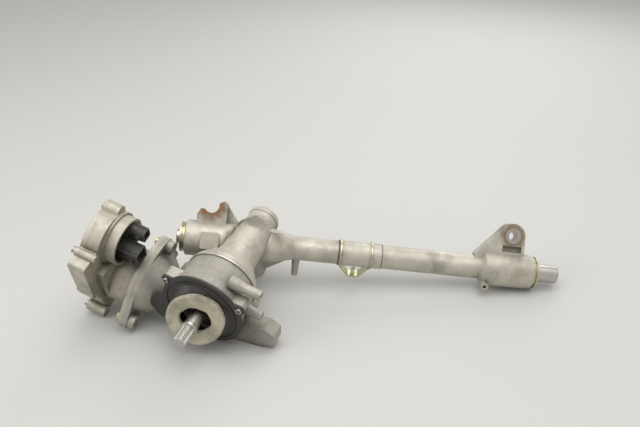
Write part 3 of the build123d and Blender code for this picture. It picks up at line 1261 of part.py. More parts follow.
tooth_length = motor_bore - STATOR_YOKE - STATOR_BORE_RADIUS
with BuildPart() as stator_core:
    with BuildSketch(across_worm(-stator_end)) as lamination:
        Circle(motor_bore - SEAT_FIT)
        Circle(motor_bore - STATOR_YOKE, mode=Mode.SUBTRACT)
        with PolarLocations(STATOR_BORE_RADIUS + tooth_length / 2, STATOR_TEETH):
            Rectangle(tooth_length + 2, STATOR_TOOTH)
        Circle(STATOR_BORE_RADIUS, mode=Mode.SUBTRACT)
    extrude(lamination.sketch, amount=STATOR_LENGTH)
finish(stator_core.part, "stator_core")

coil_reach = tooth_length - 3
with BuildPart() as stator_coils:
    with BuildSketch(across_worm(-stator_end - COIL_OVERHANG)) as windings:
        with PolarLocations(motor_bore - STATOR_YOKE - 1 - coil_reach / 2, STATOR_TEETH):
            Rectangle(coil_reach, STATOR_TOOTH + 2 * COIL_THICKNESS)
    extrude(windings.sketch, amount=STATOR_LENGTH + 2 * COIL_OVERHANG)
    with BuildSketch(across_worm(-stator_end - SEAT_FIT)) as core_room:
        with PolarLocations(motor_bore - STATOR_YOKE - 1 - coil_reach / 2, STATOR_TEETH):
            Rectangle(coil_reach + 2, STATOR_TOOTH + 2 * SEAT_FIT)
    extrude(core_room.sketch, amount=STATOR_LENGTH + 2 * SEAT_FIT, mode=Mode.SUBTRACT)
finish(stator_coils.part, "stator_coils")

with BuildPart() as rotor_core:
    tube(across_worm(-stator_end), ROTOR_RADIUS, MOTOR_SHAFT_RADIUS, STATOR_LENGTH)
finish(rotor_core.part, "rotor_core")

with BuildPart() as rotor_magnets:
    with BuildSketch(across_worm(-stator_end)) as poles:
        with PolarLocations(0, ROTOR_POLES):
            Polygon((0, 0), (2 * ROTOR_RADIUS, -2 * ROTOR_RADIUS * tan(0.8 * pi / ROTOR_POLES)),
                    (2 * ROTOR_RADIUS, 2 * ROTOR_RADIUS * tan(0.8 * pi / ROTOR_POLES)), align=None)
        Circle(ROTOR_RADIUS + MAGNET_THICKNESS, mode=Mode.INTERSECT)
        Circle(ROTOR_RADIUS, mode=Mode.SUBTRACT)
    extrude(poles.sketch, amount=STATOR_LENGTH)
finish(rotor_magnets.part, "rotor_magnets")

with BuildPart() as motor_shaft:
    rod(across_worm(-motor_rear), MOTOR_SHAFT_RADIUS, motor_rear + motor_hub_start + COUPLING_HUB)
finish(motor_shaft.part, "motor_shaft")

# ================================================================ control unit
ecu_back = motor_rear + ECU_DEPTH


def ecu_outline(sketch, inset=0.0):
    """Outline of the control unit in an open sketch, drawn inwards by an inset."""
    Polygon(*ECU_OUTLINE, align=None)
    fillet(sketch.vertices(), ECU_CORNER)
    with Locations((ECU_ROUND_X, ECU_ROUND_Y)):
        Circle(ECU_ROUND_RADIUS)
    if inset:
        offset(amount=-inset, mode=Mode.REPLACE)


def boot_room(margin=0.0):
    """Cut away the room that the tie rod and its boot need beside the rack's left end."""
    rod(across_rack(-BOOT_ROOM_LENGTH), BOOT_ROOM_RADIUS + margin, BOOT_ROOM_LENGTH, Mode.SUBTRACT)


ecu_floor = motor_rear + ECU_WALL
board_face = ecu_back - BOARD_SETBACK - BOARD_THICKNESS

with BuildPart() as ecu_room:
    with BuildSketch(across_ecu(ecu_back + 1)) as room:
        ecu_outline(room, ECU_RIM)
    extrude(room.sketch, amount=ECU_DEPTH - ECU_WALL + 1)
    boot_room(ECU_WALL)

with BuildPart() as ecu_housing:
    with BuildSketch(across_ecu(ecu_back)) as shell:
        ecu_outline(shell)
    extrude(shell.sketch, amount=ECU_DEPTH)
    # side box on its low step
    with BuildSketch(across_ecu(ecu_back)) as box:
        Polygon(*ECU_BOX_OUTLINE, align=None)
        fillet(box.vertices(), ECU_BOX_CORNER)
    extrude(box.sketch, amount=ECU_BOX_DEPTH)
    with BuildSketch(across_ecu(ecu_back)) as step:
        Polygon(*ECU_BOX_OUTLINE, align=None)
        offset(amount=ECU_BOX_STEP, mode=Mode.REPLACE)
    extrude(step.sketch, amount=ECU_BOX_STEP_DEPTH)
    with BuildSketch(across_ecu(ecu_back)) as turret:
        with Locations((TURRET_X, TURRET_Y)):
            Circle(TURRET_RADIUS)
    extrude(turret.sketch, amount=TURRET_HEIGHT)
    with BuildSketch(across_ecu(ecu_back)) as shoulder:
        with Locations((TURRET_X, TURRET_Y)):
            Circle(TURRET_RADIUS + TURRET_STEP)
    extrude(shoulder.sketch, amount=ECU_DEPTH + TURRET_STEP)
    for lug_x, lug_y, lug_radius, lug_length in ECU_LUGS:
        with BuildSketch(across_ecu(ecu_back)) as lug:
            with Locations((lug_x, lug_y)):
                Circle(lug_radius)
        extrude(lug.sketch, amount=lug_length)
    # inner room, the turret's well and the motor's seat
    add(ecu_room.part, mode=Mode.SUBTRACT)
    with BuildSketch(across_ecu(ecu_floor)) as well:
        with Locations((TURRET_X, TURRET_Y)):
            Circle(TURRET_RADIUS - TURRET_WALL)
    extrude(well.sketch, amount=TURRET_HEIGHT, mode=Mode.SUBTRACT)
    extrude(well.sketch, amount=ECU_WALL)
    with BuildSketch(across_ecu(board_face)) as standoffs:
        with Locations(*BOARD_POSTS):
            Circle(BOARD_POST_RADIUS)
    extrude(standoffs.sketch, amount=board_face - ecu_floor + 1)
    rod(across_worm(-motor_rear), MOTOR_RADIUS + FACE_GAP, MOTOR_LENGTH, Mode.SUBTRACT)
    for lug_x, lug_y, lug_radius, lug_length in ECU_LUGS:
        with BuildSketch(across_ecu(ecu_back)) as drill:
            with Locations((lug_x, lug_y)):
                Circle(ECU_SCREW_RADIUS + SEAT_FIT)
        extrude(drill.sketch, amount=ECU_SCREW_DEPTH, mode=Mode.SUBTRACT)
    boot_room()
finish(ecu_housing.part, "ecu_housing")

with BuildPart() as ecu_cover:
    with BuildSketch(across_ecu(ecu_back + COVER_PLATE)) as lid:
        ecu_outline(lid)
        for lug_x, lug_y, lug_radius, lug_length in ECU_LUGS:
            with Locations((lug_x, lug_y)):
                Circle(lug_radius)
        for lug_x, lug_y, lug_radius, lug_length in ECU_LUGS:
            with Locations((lug_x, lug_y)):
                Circle(ECU_SCREW_RADIUS + SEAT_FIT, mode=Mode.SUBTRACT)
    extrude(lid.sketch, amount=COVER_PLATE)
    # raised middle, clear of the screws
    with BuildSketch(across_ecu(ecu_back + COVER_PLATE + COVER_PANEL)) as panel:
        ecu_outline(panel, COVER_MARGIN)
    extrude(panel.sketch, amount=COVER_PANEL)
    boot_room()
finish(ecu_cover.part, "ecu_cover")

with BuildPart() as ecu_screws:
    for lug_x, lug_y, lug_radius, lug_length in ECU_LUGS:
        with BuildSketch(across_ecu(ecu_back + COVER_PLATE)) as shank:
            with Locations((lug_x, lug_y)):
                Circle(ECU_SCREW_RADIUS)
        extrude(shank.sketch, amount=COVER_PLATE + ECU_SCREW_DEPTH - 1)
        with BuildSketch(across_ecu(ecu_back + COVER_PLATE + ECU_HEAD_HEIGHT)) as head:
            with Locations((lug_x, lug_y)):
                Circle(ECU_HEAD_RADIUS)
        extrude(head.sketch, amount=ECU_HEAD_HEIGHT)
finish(ecu_screws.part, "ecu_screws")

with BuildPart() as circuit_board:
    with BuildSketch(across_ecu(ecu_back - BOARD_SETBACK)) as board:
        ecu_outline(board, ECU_RIM + 2)
    extrude(board.sketch, amount=BOARD_THICKNESS)
    boot_room(ECU_WALL + 2)
finish(circuit_board.part, "circuit_board")


def socket(name, x, y, width, height, reach):
    """Connector body in the turret, with an open mouth towards the drum."""
    with BuildPart() as body:
        with BuildSketch(across_ecu(motor_rear)) as outside:
            with Locations((x, y)):
                RectangleRounded(width, height, SOCKET_CORNER)
        extrude(outside.sketch, amount=reach)
        with BuildSketch(across_ecu(motor_rear - reach + SOCKET_DEPTH)) as mouth:
            with Locations((x, y)):
                RectangleRounded(width - 2 * SOCKET_WALL, height - 2 * SOCKET_WALL, SOCKET_CORNER / 2)
        extrude(mouth.sketch, amount=SOCKET_DEPTH + 1, mode=Mode.SUBTRACT)
    finish(body.part, name)


socket("power_connector", *POWER_SOCKET)
socket("signal_connector", *SIGNAL_SOCKET)

# ================================================================ fittings on the tube
with BuildPart() as strap_clip:
    with BuildSketch(Plane(origin=(CLIP_X, CLIP_WIDTH / 2, 0), x_dir=(1, 0, 0), z_dir=(0, -1, 0))) as strap:
        with BuildLine():
            Polyline((-CLIP_TOP, 0), (-CLIP_TOP, -SLEEVE_RADIUS), (-CLIP_FOOT, -SLEEVE_RADIUS - CLIP_DROP),
                     (CLIP_FOOT, -SLEEVE_RADIUS - CLIP_DROP), (CLIP_TOP, -SLEEVE_RADIUS), (CLIP_TOP, 0),
                     close=True)
        make_face()
        with BuildLine():
            Polyline((-CLIP_TOP + CLIP_SHEET, 1), (-CLIP_TOP + CLIP_SHEET, -SLEEVE_RADIUS),
                     (-CLIP_FOOT + 1, -SLEEVE_RADIUS - CLIP_DROP + CLIP_SHEET),
                     (CLIP_FOOT - 1, -SLEEVE_RADIUS - CLIP_DROP + CLIP_SHEET),
                     (CLIP_TOP - CLIP_SHEET, -SLEEVE_RADIUS), (CLIP_TOP - CLIP_SHEET, 1), close=True)
        make_face(mode=Mode.SUBTRACT)
    extrude(strap.sketch, amount=CLIP_WIDTH)
    for edge in (-CLIP_TOP, CLIP_TOP - CLIP_SHEET):
        tube(across_rack(CLIP_X + edge), SLEEVE_RADIUS + CLIP_SHEET, SLEEVE_RADIUS - 1, CLIP_SHEET)
    rod(across_rack(CLIP_X - 2 * CLIP_TOP), SLEEVE_RADIUS + SEAT_FIT, 4 * CLIP_TOP, Mode.SUBTRACT)
    rod(Plane(origin=(CLIP_X, 0, -SLEEVE_RADIUS - CLIP_DROP - 1), z_dir=(0, 0, 1)),
        CLIP_STEM_RADIUS + SEAT_FIT, CLIP_SHEET + 2, Mode.SUBTRACT)
finish(strap_clip.part, "strap_clip")

clip_foot = -SLEEVE_RADIUS - CLIP_DROP
with BuildPart() as clip_plug:
    rod(Plane(origin=(CLIP_X, 0, clip_foot - CLIP_PLUG_HEAD), z_dir=(0, 0, 1)), CLIP_POST_RADIUS,
        CLIP_PLUG_HEAD)
    rod(Plane(origin=(CLIP_X, 0, clip_foot - 1), z_dir=(0, 0, 1)), CLIP_STEM_RADIUS, CLIP_PLUG_STEM)
finish(clip_plug.part, "clip_plug")
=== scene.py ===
"""Looks of an electric power steering rack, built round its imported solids."""

from math import cos, pi, radians, sin

import bmesh
import bpy
import numpy as np
from mathutils import Matrix, Vector


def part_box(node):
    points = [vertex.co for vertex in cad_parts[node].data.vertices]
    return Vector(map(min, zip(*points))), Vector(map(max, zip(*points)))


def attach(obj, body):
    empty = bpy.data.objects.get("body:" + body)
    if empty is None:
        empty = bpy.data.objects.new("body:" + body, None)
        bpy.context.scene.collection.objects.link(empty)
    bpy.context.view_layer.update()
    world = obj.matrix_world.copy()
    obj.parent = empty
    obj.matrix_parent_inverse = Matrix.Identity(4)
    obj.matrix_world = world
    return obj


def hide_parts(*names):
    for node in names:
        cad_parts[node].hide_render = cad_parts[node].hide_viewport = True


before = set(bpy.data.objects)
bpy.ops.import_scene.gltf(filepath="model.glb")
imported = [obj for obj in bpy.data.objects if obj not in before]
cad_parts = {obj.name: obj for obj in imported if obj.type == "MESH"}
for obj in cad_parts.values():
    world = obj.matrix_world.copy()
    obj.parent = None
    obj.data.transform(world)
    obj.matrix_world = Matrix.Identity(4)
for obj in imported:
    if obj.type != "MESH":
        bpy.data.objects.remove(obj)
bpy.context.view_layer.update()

bl_info = {
    "name": "Steering rack looks",
    "version": (1, 0, 0),
    "blender": (4, 5, 0),
    "location": "View3D > Sidebar > Steering rack",
    "description": "Finishes, foam ring, rims, bands, screw heads, ribs and linings of a steering rack",
    "category": "Object",
}

# The part's own directions, in metres and degrees. The origin is the left boot seat.
SHAFT_SKEW = 20.0
SHAFT_DIP = 14.0
DRIVE_ROLL = 5.0
PINION_X = 0.102
PINION_RISE = 0.016489
WHEEL_STATION = 0.116
WORM_DISTANCE = 0.044
ECU_TURN = 13.0

skew, dip, roll = radians(SHAFT_SKEW), radians(SHAFT_DIP), radians(DRIVE_ROLL)
SHAFT_DIR = np.array([-sin(skew), -cos(skew) * cos(dip), -cos(skew) * sin(dip)])
MESH_DIR = np.array([0.0, -sin(dip), cos(dip)])
DRIVE_DIR = np.cross(MESH_DIR, SHAFT_DIR) * cos(roll) - MESH_DIR * sin(roll)
RISE_DIR = np.cross(SHAFT_DIR, DRIVE_DIR)
CROSSING = np.array([PINION_X, 0.0, 0.0]) + MESH_DIR * PINION_RISE
WORM_CENTRE = CROSSING + SHAFT_DIR * WHEEL_STATION - RISE_DIR * WORM_DISTANCE
ECU_DIR = SHAFT_DIR * cos(radians(ECU_TURN)) - RISE_DIR * sin(radians(ECU_TURN))
ECU_DOWN = np.cross(DRIVE_DIR, ECU_DIR)
MOUNT_LEAN = radians(30.0)
MOUNT_UP = np.array([0.0, sin(MOUNT_LEAN), cos(MOUNT_LEAN)])
MOUNT_AXIS = np.array([0.0, -cos(MOUNT_LEAN), sin(MOUNT_LEAN)])
MOUNT_RISE = 0.050
RIGHT_EYE = np.array([0.477, 0.0, 0.0]) + MOUNT_UP * MOUNT_RISE
LEFT_SEAT = np.array([0.0385, 0.0, 0.0]) + MOUNT_UP * MOUNT_RISE
SEAM_STATION = 0.095
TOWER_END = -0.042
SLEEVE_START = 0.227
SLEEVE_END = 0.289
COLLAR_HEAD = 0.1506           # station of the collar screws' faces
COLLAR_EAR_ANGLES = (152.0, 34.5, 270.0)
COLLAR_EAR_REACH = 0.0605
COLLAR_HEAD_RADIUS = 0.0042
ECU_HEAD = 0.1705              # back along the motor axis to the cover screws' faces
ECU_HEAD_RADIUS = 0.0044
ECU_LUGS = (
    (0.038, -0.097), (-0.031, -0.103), (0.053, -0.014),
    (0.051, 0.038), (-0.035, 0.046), (-0.047, -0.052),
)
SOCKETS = {
    "power_connector": {"across": -0.004, "down": -0.066, "width": 0.022, "height": 0.026, "mouth": 0.102},
    "signal_connector": {"across": -0.024, "down": -0.088, "width": 0.015, "height": 0.018, "mouth": 0.104},
}
SOCKET_DEPTH = 0.014
TURRET = (-0.010, -0.075)      # the turret's place across the motor axis
TURRET_MOUTH = 0.125
TURRET_FLOOR = 0.142
TUBE_DIR = np.array([1.0, 0.0, 0.0])
UP = np.array([0.0, 0.0, 1.0])

# Sizes of the modelled pieces, in metres and degrees.
FOAM_CORNER = 0.35             # power that rounds the corners of the foam's section
HEAD_FIT = 0.96                # a rim's outer radius as a share of its screw head's
COLLAR_FLATS = 0.0042
COLLAR_RIM_HEIGHT = 0.0005
COVER_FLATS = 0.0044
COVER_RIM_HEIGHT = 0.0001
DISC_POLE = 0.00001            # hole in the middle of a hexagon's disc of painted shade
DISC_SHARE = 0.6               # the floor's radius as a share of the width across flats
DISC_SPAN = (0.00002, 0.00008)
TERMINALS = (                  # connector, columns, rows, half width and half height
    ("power_connector", 2, 1, 0.0008, 0.0032),
    ("signal_connector", 3, 3, 0.0006, 0.0006),
)
TERMINAL_SPREAD = 0.25         # the outermost terminals, as a share of the mouth
TERMINAL_SHARE = 0.7           # a terminal's length as a share of the socket's depth
RIB_FOOT = 0.024               # back from a socket's mouth to the feet of its ribs
RIB_SPREAD = 0.28              # a rib's distance from the middle of its face, as a share of the face
RIB_HALF_WIDTH = 0.0009
RIB_LENGTH = 0.022
LOCK_STAND = 0.0012            # from the socket's face out to the lock's middle
LOCK_START = 0.012             # from the ribs' feet forward to the lock's foot
LOCK_HALF_WIDTH = 0.0022
LOCK_SHARE = 0.2               # the lock's half height as a share of the socket's height
LOCK_LENGTH = 0.007
SEAM_WALL = 0.0008
SEAM_SPAN = (-0.0011, 0.0003)
TOWER_RIM_OFFSET = 0.0068      # from the tower's end to the middle of its rim
TOWER_RIM_ROOT = 0.001         # how far the rim and the line reach below the tower's skin
TOWER_BANDS = (                # piece, rise above the tower's skin, span from the rim's middle, finish
    ("tower_rim", 0.0006, (-0.0030, 0.0030), "tube"),
    ("tower_line", 0.00025, (0.0028, 0.0037), "band"),
)
BAND_WALL = 0.0012
BANDS = ((SLEEVE_START, 0.0007), (SLEEVE_END, 0.0004))   # station and half width
LINING_OUTER = 0.01247
LINING_HALF_WIDTH = 0.0102
LINING_ARC = (217.0, 366.0)
LINING_FLAKE = 0.008           # share by which the lining's skin swells
SHADE_CUP_POLE = 0.0001            # hole in the middle of the turret's cup of painted shade
SHADE_CUP_BASE = 0.0002
SHADE_CUP_FLOOR = 0.0022
SHADE_CUP_LIP = ((0.0, 0.0022), (0.0004, 0.0016), (0.0016, 0.0018), (0.0022, 0.006))   # inset and drop
SHADE_CUP_FOOT = 0.0032            # inset and height where the shade cup's wall meets its floor
SHADE_CUP_DISH = 0.6               # radius of the floor's flat middle as a share of the shade cup's


# ---------------------------------------------------------------- settings
class SteeringRackFinishes(bpy.types.PropertyGroup):
    """Colours and wear of the metals and plastics."""

    tube_colour: bpy.props.FloatVectorProperty(
        name="Tube casting", description="Cast aluminium of the rack tube", subtype="COLOR",
        size=3, min=0.0, max=1.0, default=(0.53, 0.50, 0.43))
    drum_colour: bpy.props.FloatVectorProperty(
        name="Gear housing casting", description="Cast aluminium of the drum and funnel", subtype="COLOR",
        size=3, min=0.0, max=1.0, default=(0.40, 0.375, 0.325))
    motor_colour: bpy.props.FloatVectorProperty(
        name="Motor casting", description="Die-cast aluminium of the motor and control unit",
        subtype="COLOR", size=3, min=0.0, max=1.0, default=(0.47, 0.44, 0.365))
    # The grime colour paints real stains and also painted shade in the castings' corners.
    grime_and_shade_colour: bpy.props.FloatVectorProperty(
        name="Grime", description="Oily dirt in the corners of the castings", subtype="COLOR",
        size=3, min=0.0, max=1.0, default=(0.11, 0.095, 0.07))
    zinc_colour: bpy.props.FloatVectorProperty(
        name="Yellow zinc", description="Passivated zinc of the boot rings and the strap", subtype="COLOR",
        size=3, min=0.0, max=1.0, default=(0.55, 0.53, 0.33))
    rust_colour: bpy.props.FloatVectorProperty(
        name="Rust", description="Rust on the bushing and in the left seat", subtype="COLOR",
        size=3, min=0.0, max=1.0, default=(0.26, 0.10, 0.04))
    # Black plastic also colours the painted shade in the connector turret.
    plastic_colour: bpy.props.FloatVectorProperty(
        name="Black plastic", description="Dust collar and connectors", subtype="COLOR",
        size=3, min=0.0, max=1.0, default=(0.034, 0.031, 0.028))
    foam_colour: bpy.props.FloatVectorProperty(
        name="Foam", description="Foam ring of the dust collar", subtype="COLOR",
        size=3, min=0.0, max=1.0, default=(0.43, 0.40, 0.30))
    cast_grain: bpy.props.FloatProperty(
        name="Cast grain", description="Depth of the cast skin's grain", default=0.00022, min=0.0, max=0.002,
        unit="LENGTH", subtype="DISTANCE", precision=5)
    # The grime amount scales the real dirt patches and the painted corner shade alike.
    grime_and_shade_amount: bpy.props.FloatProperty(
        name="Grime amount", description="How much dirt lies on the castings",
        default=0.72, min=0.0, max=1.0, subtype="FACTOR")


class SteeringRackSizes(bpy.types.PropertyGroup):
    """Sizes of the modelled details."""

    foam_outer: bpy.props.FloatProperty(
        name="Foam outer radius", description="Outer radius of the foam ring",
        default=0.0385, min=0.03, max=0.06, unit="LENGTH", subtype="DISTANCE")
    foam_inner: bpy.props.FloatProperty(
        name="Foam inner radius", description="Radius of the hole in the foam ring",
        default=0.0198, min=0.01, max=0.03, unit="LENGTH", subtype="DISTANCE")
    foam_thickness: bpy.props.FloatProperty(
        name="Foam thickness", description="Thickness of the foam ring", default=0.0082, min=0.002, max=0.02,
        unit="LENGTH", subtype="DISTANCE")
    foam_dent: bpy.props.FloatProperty(
        name="Foam dents", description="Depth of the hollows pressed into the foam", default=0.0011, min=0.0,
        max=0.004, unit="LENGTH", subtype="DISTANCE")
    collar_tilt: bpy.props.FloatProperty(
        name="Collar tilt", description="Lean of the dust collar's mouth", default=radians(20.0), min=0.0,
        max=radians(30.0), subtype="ANGLE")
    collar_aim: bpy.props.FloatProperty(
        name="Collar aim", description="Side towards which the mouth is low", default=radians(60.0), min=0.0,
        max=2 * pi, subtype="ANGLE")
    seam_radius: bpy.props.FloatProperty(
        name="Seam radius", description="Outer radius of the bright edge between the two castings",
        default=0.0507, min=0.04, max=0.07, unit="LENGTH", subtype="DISTANCE")
    tower_radius: bpy.props.FloatProperty(
        name="Tower radius", description="Radius of the pinion tower inside its rim", default=0.0225,
        min=0.015, max=0.04, unit="LENGTH", subtype="DISTANCE")
    band_radius: bpy.props.FloatProperty(
        name="Band radius", description="Outer radius of the dark bands on the tube's sleeve",
        default=0.0182, min=0.015, max=0.03, unit="LENGTH", subtype="DISTANCE")
    seat_radius: bpy.props.FloatProperty(
        name="Seat radius", description="Inner radius of the rusty lining in the left seat", default=0.0122,
        min=0.01, max=0.0124, unit="LENGTH", subtype="DISTANCE")
    # The black cup in the connector turret is painted shade; this is its outer radius.
    turret_shade_radius: bpy.props.FloatProperty(
        name="Liner radius", description="Outer radius of the black liner in the connector turret",
        default=0.0293, min=0.02, max=0.0295, unit="LENGTH", subtype="DISTANCE")
    floor_size: bpy.props.FloatProperty(
        name="Floor", description="Width of the floor", default=24.0, min=2.0, max=60.0,
        unit="LENGTH", subtype="DISTANCE")
    key_power: bpy.props.FloatProperty(
        name="Key light", description="Power of the large soft light", default=20.0, min=0.0, max=500.0,
        unit="POWER")


# ---------------------------------------------------------------- surfaces
def surface(name, points, closed_along=False, closed_across=False):
    """Mesh object over a grid of points: each cell of the grid is a four-sided face."""
    rows, columns = points.shape[:2]
    index = np.arange(rows * columns).reshape(rows, columns)
    if closed_along:
        index = np.vstack([index, index[:1]])
    if closed_across:
        index = np.hstack([index, index[:, :1]])
    cells = [index[:-1, :-1], index[1:, :-1], index[1:, 1:], index[:-1, 1:]]
    faces = np.stack(cells, axis=-1).reshape(-1, 4)
    mesh = bpy.data.meshes.new(name)
    mesh.from_pydata(points.reshape(-1, 3).tolist(), [], faces.tolist())
    mesh.update()
    mesh.polygons.foreach_set("use_smooth", np.ones(len(mesh.polygons), dtype=bool))
    piece = bpy.data.objects.new(name, mesh)
    bpy.context.scene.collection.objects.link(piece)
    return piece


def joined(name, pieces):
    """One object out of several, with their meshes end to end."""
    first = pieces[0]
    with bpy.context.temp_override(active_object=first, selected_editable_objects=pieces, object=first):
        bpy.ops.object.join()
    first.name = name
    first.data.name = name
    return first


def turned(name, centre, axis, side, profile, count=96):
    """Profile of (radius, height) pairs turned about an axis: each point is the centre, plus its height
    along the axis, plus its radius along a side that turns round."""
    profile = np.asarray(profile)
    angle = np.linspace(0.0, 2 * pi, count, endpoint=False)
    across = np.cross(axis, side)
    spoke = np.cos(angle)[:, None] * side + np.sin(angle)[:, None] * across
    points = centre + profile[None, :, 1, None] * axis + profile[None, :, 0, None] * spoke[:, None, :]
    return surface(name, points, closed_along=True, closed_across=True)


def finish_piece(piece, body, slot_name, *replaced):
    """The piece moves with its body and stands in for the nodes that it replaces. Its finish slot name is
    not used.
    """
    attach(piece, body)
    if replaced:
        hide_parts(*replaced)


# ---------------------------------------------------------------- material parts
def new_material(name):
    """Empty node material with its shader and its object coordinates."""
    material = bpy.data.materials.new(name)
    material.use_nodes = True
    tree = material.node_tree
    shader = tree.nodes["Principled BSDF"]
    place = tree.nodes.new("ShaderNodeTexCoord")
    return material, tree, shader, place.outputs["Object"]


def noise(tree, place, scale, detail=4.0, roughness=0.55, stretch=(1.0, 1.0, 1.0)):
    """Cloudy noise at a scale in features a metre."""
    mapping = tree.nodes.new("ShaderNodeMapping")
    mapping.inputs["Scale"].default_value = stretch
    texture = tree.nodes.new("ShaderNodeTexNoise")
    texture.inputs["Scale"].default_value = scale
    texture.inputs["Detail"].default_value = detail
    texture.inputs["Roughness"].default_value = roughness
    tree.links.new(place, mapping.inputs["Vector"])
    tree.links.new(mapping.outputs["Vector"], texture.inputs["Vector"])
    return texture.outputs["Fac"]


def ramp(tree, factor, low, high, low_value=0.0, high_value=1.0):
    """Factor spread between two levels."""
    spread = tree.nodes.new("ShaderNodeMapRange")
    spread.inputs["From Min"].default_value = low
    spread.inputs["From Max"].default_value = high
    spread.inputs["To Min"].default_value = low_value
    spread.inputs["To Max"].default_value = high_value
    tree.links.new(factor, spread.inputs["Value"])
    return spread.outputs["Result"]


# The mix node has sockets of the same name for every kind of value, so the colour ones go by number.
MIX_FACTOR = 0
MIX_FIRST = 6
MIX_SECOND = 7
MIX_RESULT = 2


def mixed(tree, factor, first, second):
    """Two colours mixed by a factor; each is a socket or a plain colour."""
    mixer = tree.nodes.new("ShaderNodeMix")
    mixer.data_type = "RGBA"
    sockets = (mixer.inputs[MIX_FIRST], mixer.inputs[MIX_SECOND])
    for socket, value in zip(sockets, (first, second)):
        if isinstance(value, bpy.types.NodeSocket):
            tree.links.new(value, socket)
        else:
            socket.default_value = (*value, 1.0)
    if isinstance(factor, bpy.types.NodeSocket):
        tree.links.new(factor, mixer.inputs[MIX_FACTOR])
    else:
        mixer.inputs[MIX_FACTOR].default_value = factor
    return mixer.outputs[MIX_RESULT]


def maths(tree, operation, first, second):
    """One sum on two sockets or numbers."""
    node = tree.nodes.new("ShaderNodeMath")
    node.operation = operation
    for socket, value in zip(node.inputs, (first, second)):
        if isinstance(value, bpy.types.NodeSocket):
            tree.links.new(value, socket)
        else:
            socket.default_value = value
    return node.outputs[0]


def corners(tree, reach):
    """1 in the open and towards 0 in corners narrower than the reach."""
    shade = tree.nodes.new("ShaderNodeAmbientOcclusion")
    shade.samples = 4
    shade.inputs["Distance"].default_value = reach
    return shade.outputs["AO"]


def bumped(tree, shader, height, depth, strength=1.0, rounding=0.0):
    """Bump of a height over softly rounded edges."""
    bump = tree.nodes.new("ShaderNodeBump")
    bump.inputs["Strength"].default_value = strength
    bump.inputs["Distance"].default_value = depth
    tree.links.new(height, bump.inputs["Height"])
    if rounding:
        edge = tree.nodes.new("ShaderNodeBevel")
        edge.samples = 4
        edge.inputs["Radius"].default_value = rounding
        tree.links.new(edge.outputs["Normal"], bump.inputs["Normal"])
    tree.links.new(bump.outputs["Normal"], shader.inputs["Normal"])


RAGGED_EDGE = 0.016            # how far a stain's edge wanders, in metres


def near_point(tree, place, centre, inner, outer):
    """1 close to a point and 0 beyond the outer distance, with a ragged edge."""
    gap = tree.nodes.new("ShaderNodeVectorMath")
    gap.operation = "DISTANCE"
    gap.inputs[1].default_value = centre
    tree.links.new(place, gap.inputs[0])
    waver = maths(tree, "SUBTRACT", noise(tree, place, 130.0, 6.0, 0.65), 0.5)
    ragged = maths(tree, "MULTIPLY", waver, RAGGED_EDGE)
    return ramp(tree, maths(tree, "ADD", gap.outputs["Value"], ragged), inner, outer, 1.0, 0.0)


def cast_aluminium(name, colour, grime_and_shade, grain, amount, blotch=22.0, stains=()):
    """Sand-toned cast skin: fine grain, cloudy oxide, painted shade in its corners in the grime colour, dirt
    patches, stains at given points.
    """
    material, tree, shader, place = new_material(name)
    shader.inputs["Metallic"].default_value = 0.62
    cloud = ramp(tree, noise(tree, place, blotch, 6.0, 0.6), 0.34, 0.70)
    fleck = ramp(tree, noise(tree, place, 420.0, 3.0, 0.7), 0.42, 0.66)
    light = tuple(min(1.0, channel * 1.14) for channel in colour)
    dark = tuple(channel * 0.72 for channel in colour)
    skin = mixed(tree, cloud, dark, light)
    skin = mixed(tree, maths(tree, "MULTIPLY", fleck, 0.18), skin, dark)
    # Painted shade: the skin darkens towards the grime colour in corners that ambient occlusion finds, and
    # this is mixed with the real dirt patches.
    open_air = corners(tree, 0.012)
    corner_shade = maths(tree, "MULTIPLY", ramp(tree, open_air, 0.35, 0.95, 1.0, 0.0), amount)
    patch = ramp(tree, noise(tree, place, 60.0, 8.0, 0.65), 0.52, 0.74)
    stain = maths(tree, "MULTIPLY", patch, amount * 0.55)
    dirt_and_shade = mixed(tree, maths(tree, "MAXIMUM", corner_shade, stain), skin, grime_and_shade)
    for centre, inner, outer, strength, stain_colour in stains:
        reach = maths(tree, "MULTIPLY", near_point(tree, place, centre, inner, outer), strength)
        dirt_and_shade = mixed(tree, reach, dirt_and_shade, stain_colour)
    tree.links.new(dirt_and_shade, shader.inputs["Base Color"])
    sheen = ramp(tree, noise(tree, place, 130.0, 5.0), 0.3, 0.7, 0.40, 0.62)
    tree.links.new(sheen, shader.inputs["Roughness"])
    fine = noise(tree, place, 1100.0, 2.0)
    coarse = maths(tree, "MULTIPLY", noise(tree, place, 240.0), 1.2)
    height = maths(tree, "ADD", fine, coarse)
    bumped(tree, shader, height, grain, 0.6, 0.0007)
    return material


def turned_steel(name, colour, roughness, wear=0.3, metallic=1.0):
    """Machined steel: fine rings of tool marks, brown handling stains and near-black painted shade in its
    corners.
    """
    material, tree, shader, place = new_material(name)
    shader.inputs["Metallic"].default_value = metallic
    lines = noise(tree, place, 60.0, 3.0, 0.6, (40.0, 1.0, 1.0))
    stain = ramp(tree, noise(tree, place, 55.0, 7.0, 0.65), 0.46, 0.72)
    dark = tuple(channel * 0.45 for channel in colour)
    brown = (colour[0] * 0.62, colour[1] * 0.5, colour[2] * 0.38)
    metal = mixed(tree, maths(tree, "MULTIPLY", ramp(tree, lines, 0.3, 0.7), 0.35), colour, dark)
    metal = mixed(tree, maths(tree, "MULTIPLY", stain, wear), metal, brown)
    # Painted shade: near-black colour in corners that ambient occlusion finds.
    metal = mixed(tree, ramp(tree, corners(tree, 0.004), 0.2, 0.8, 0.75, 0.0), metal, (0.03, 0.026, 0.02))
    tree.links.new(metal, shader.inputs["Base Color"])
    tree.links.new(ramp(tree, stain, 0.0, 1.0, roughness, roughness + 0.2), shader.inputs["Roughness"])
    bumped(tree, shader, lines, 0.00003, 0.5, 0.0003)
    return material


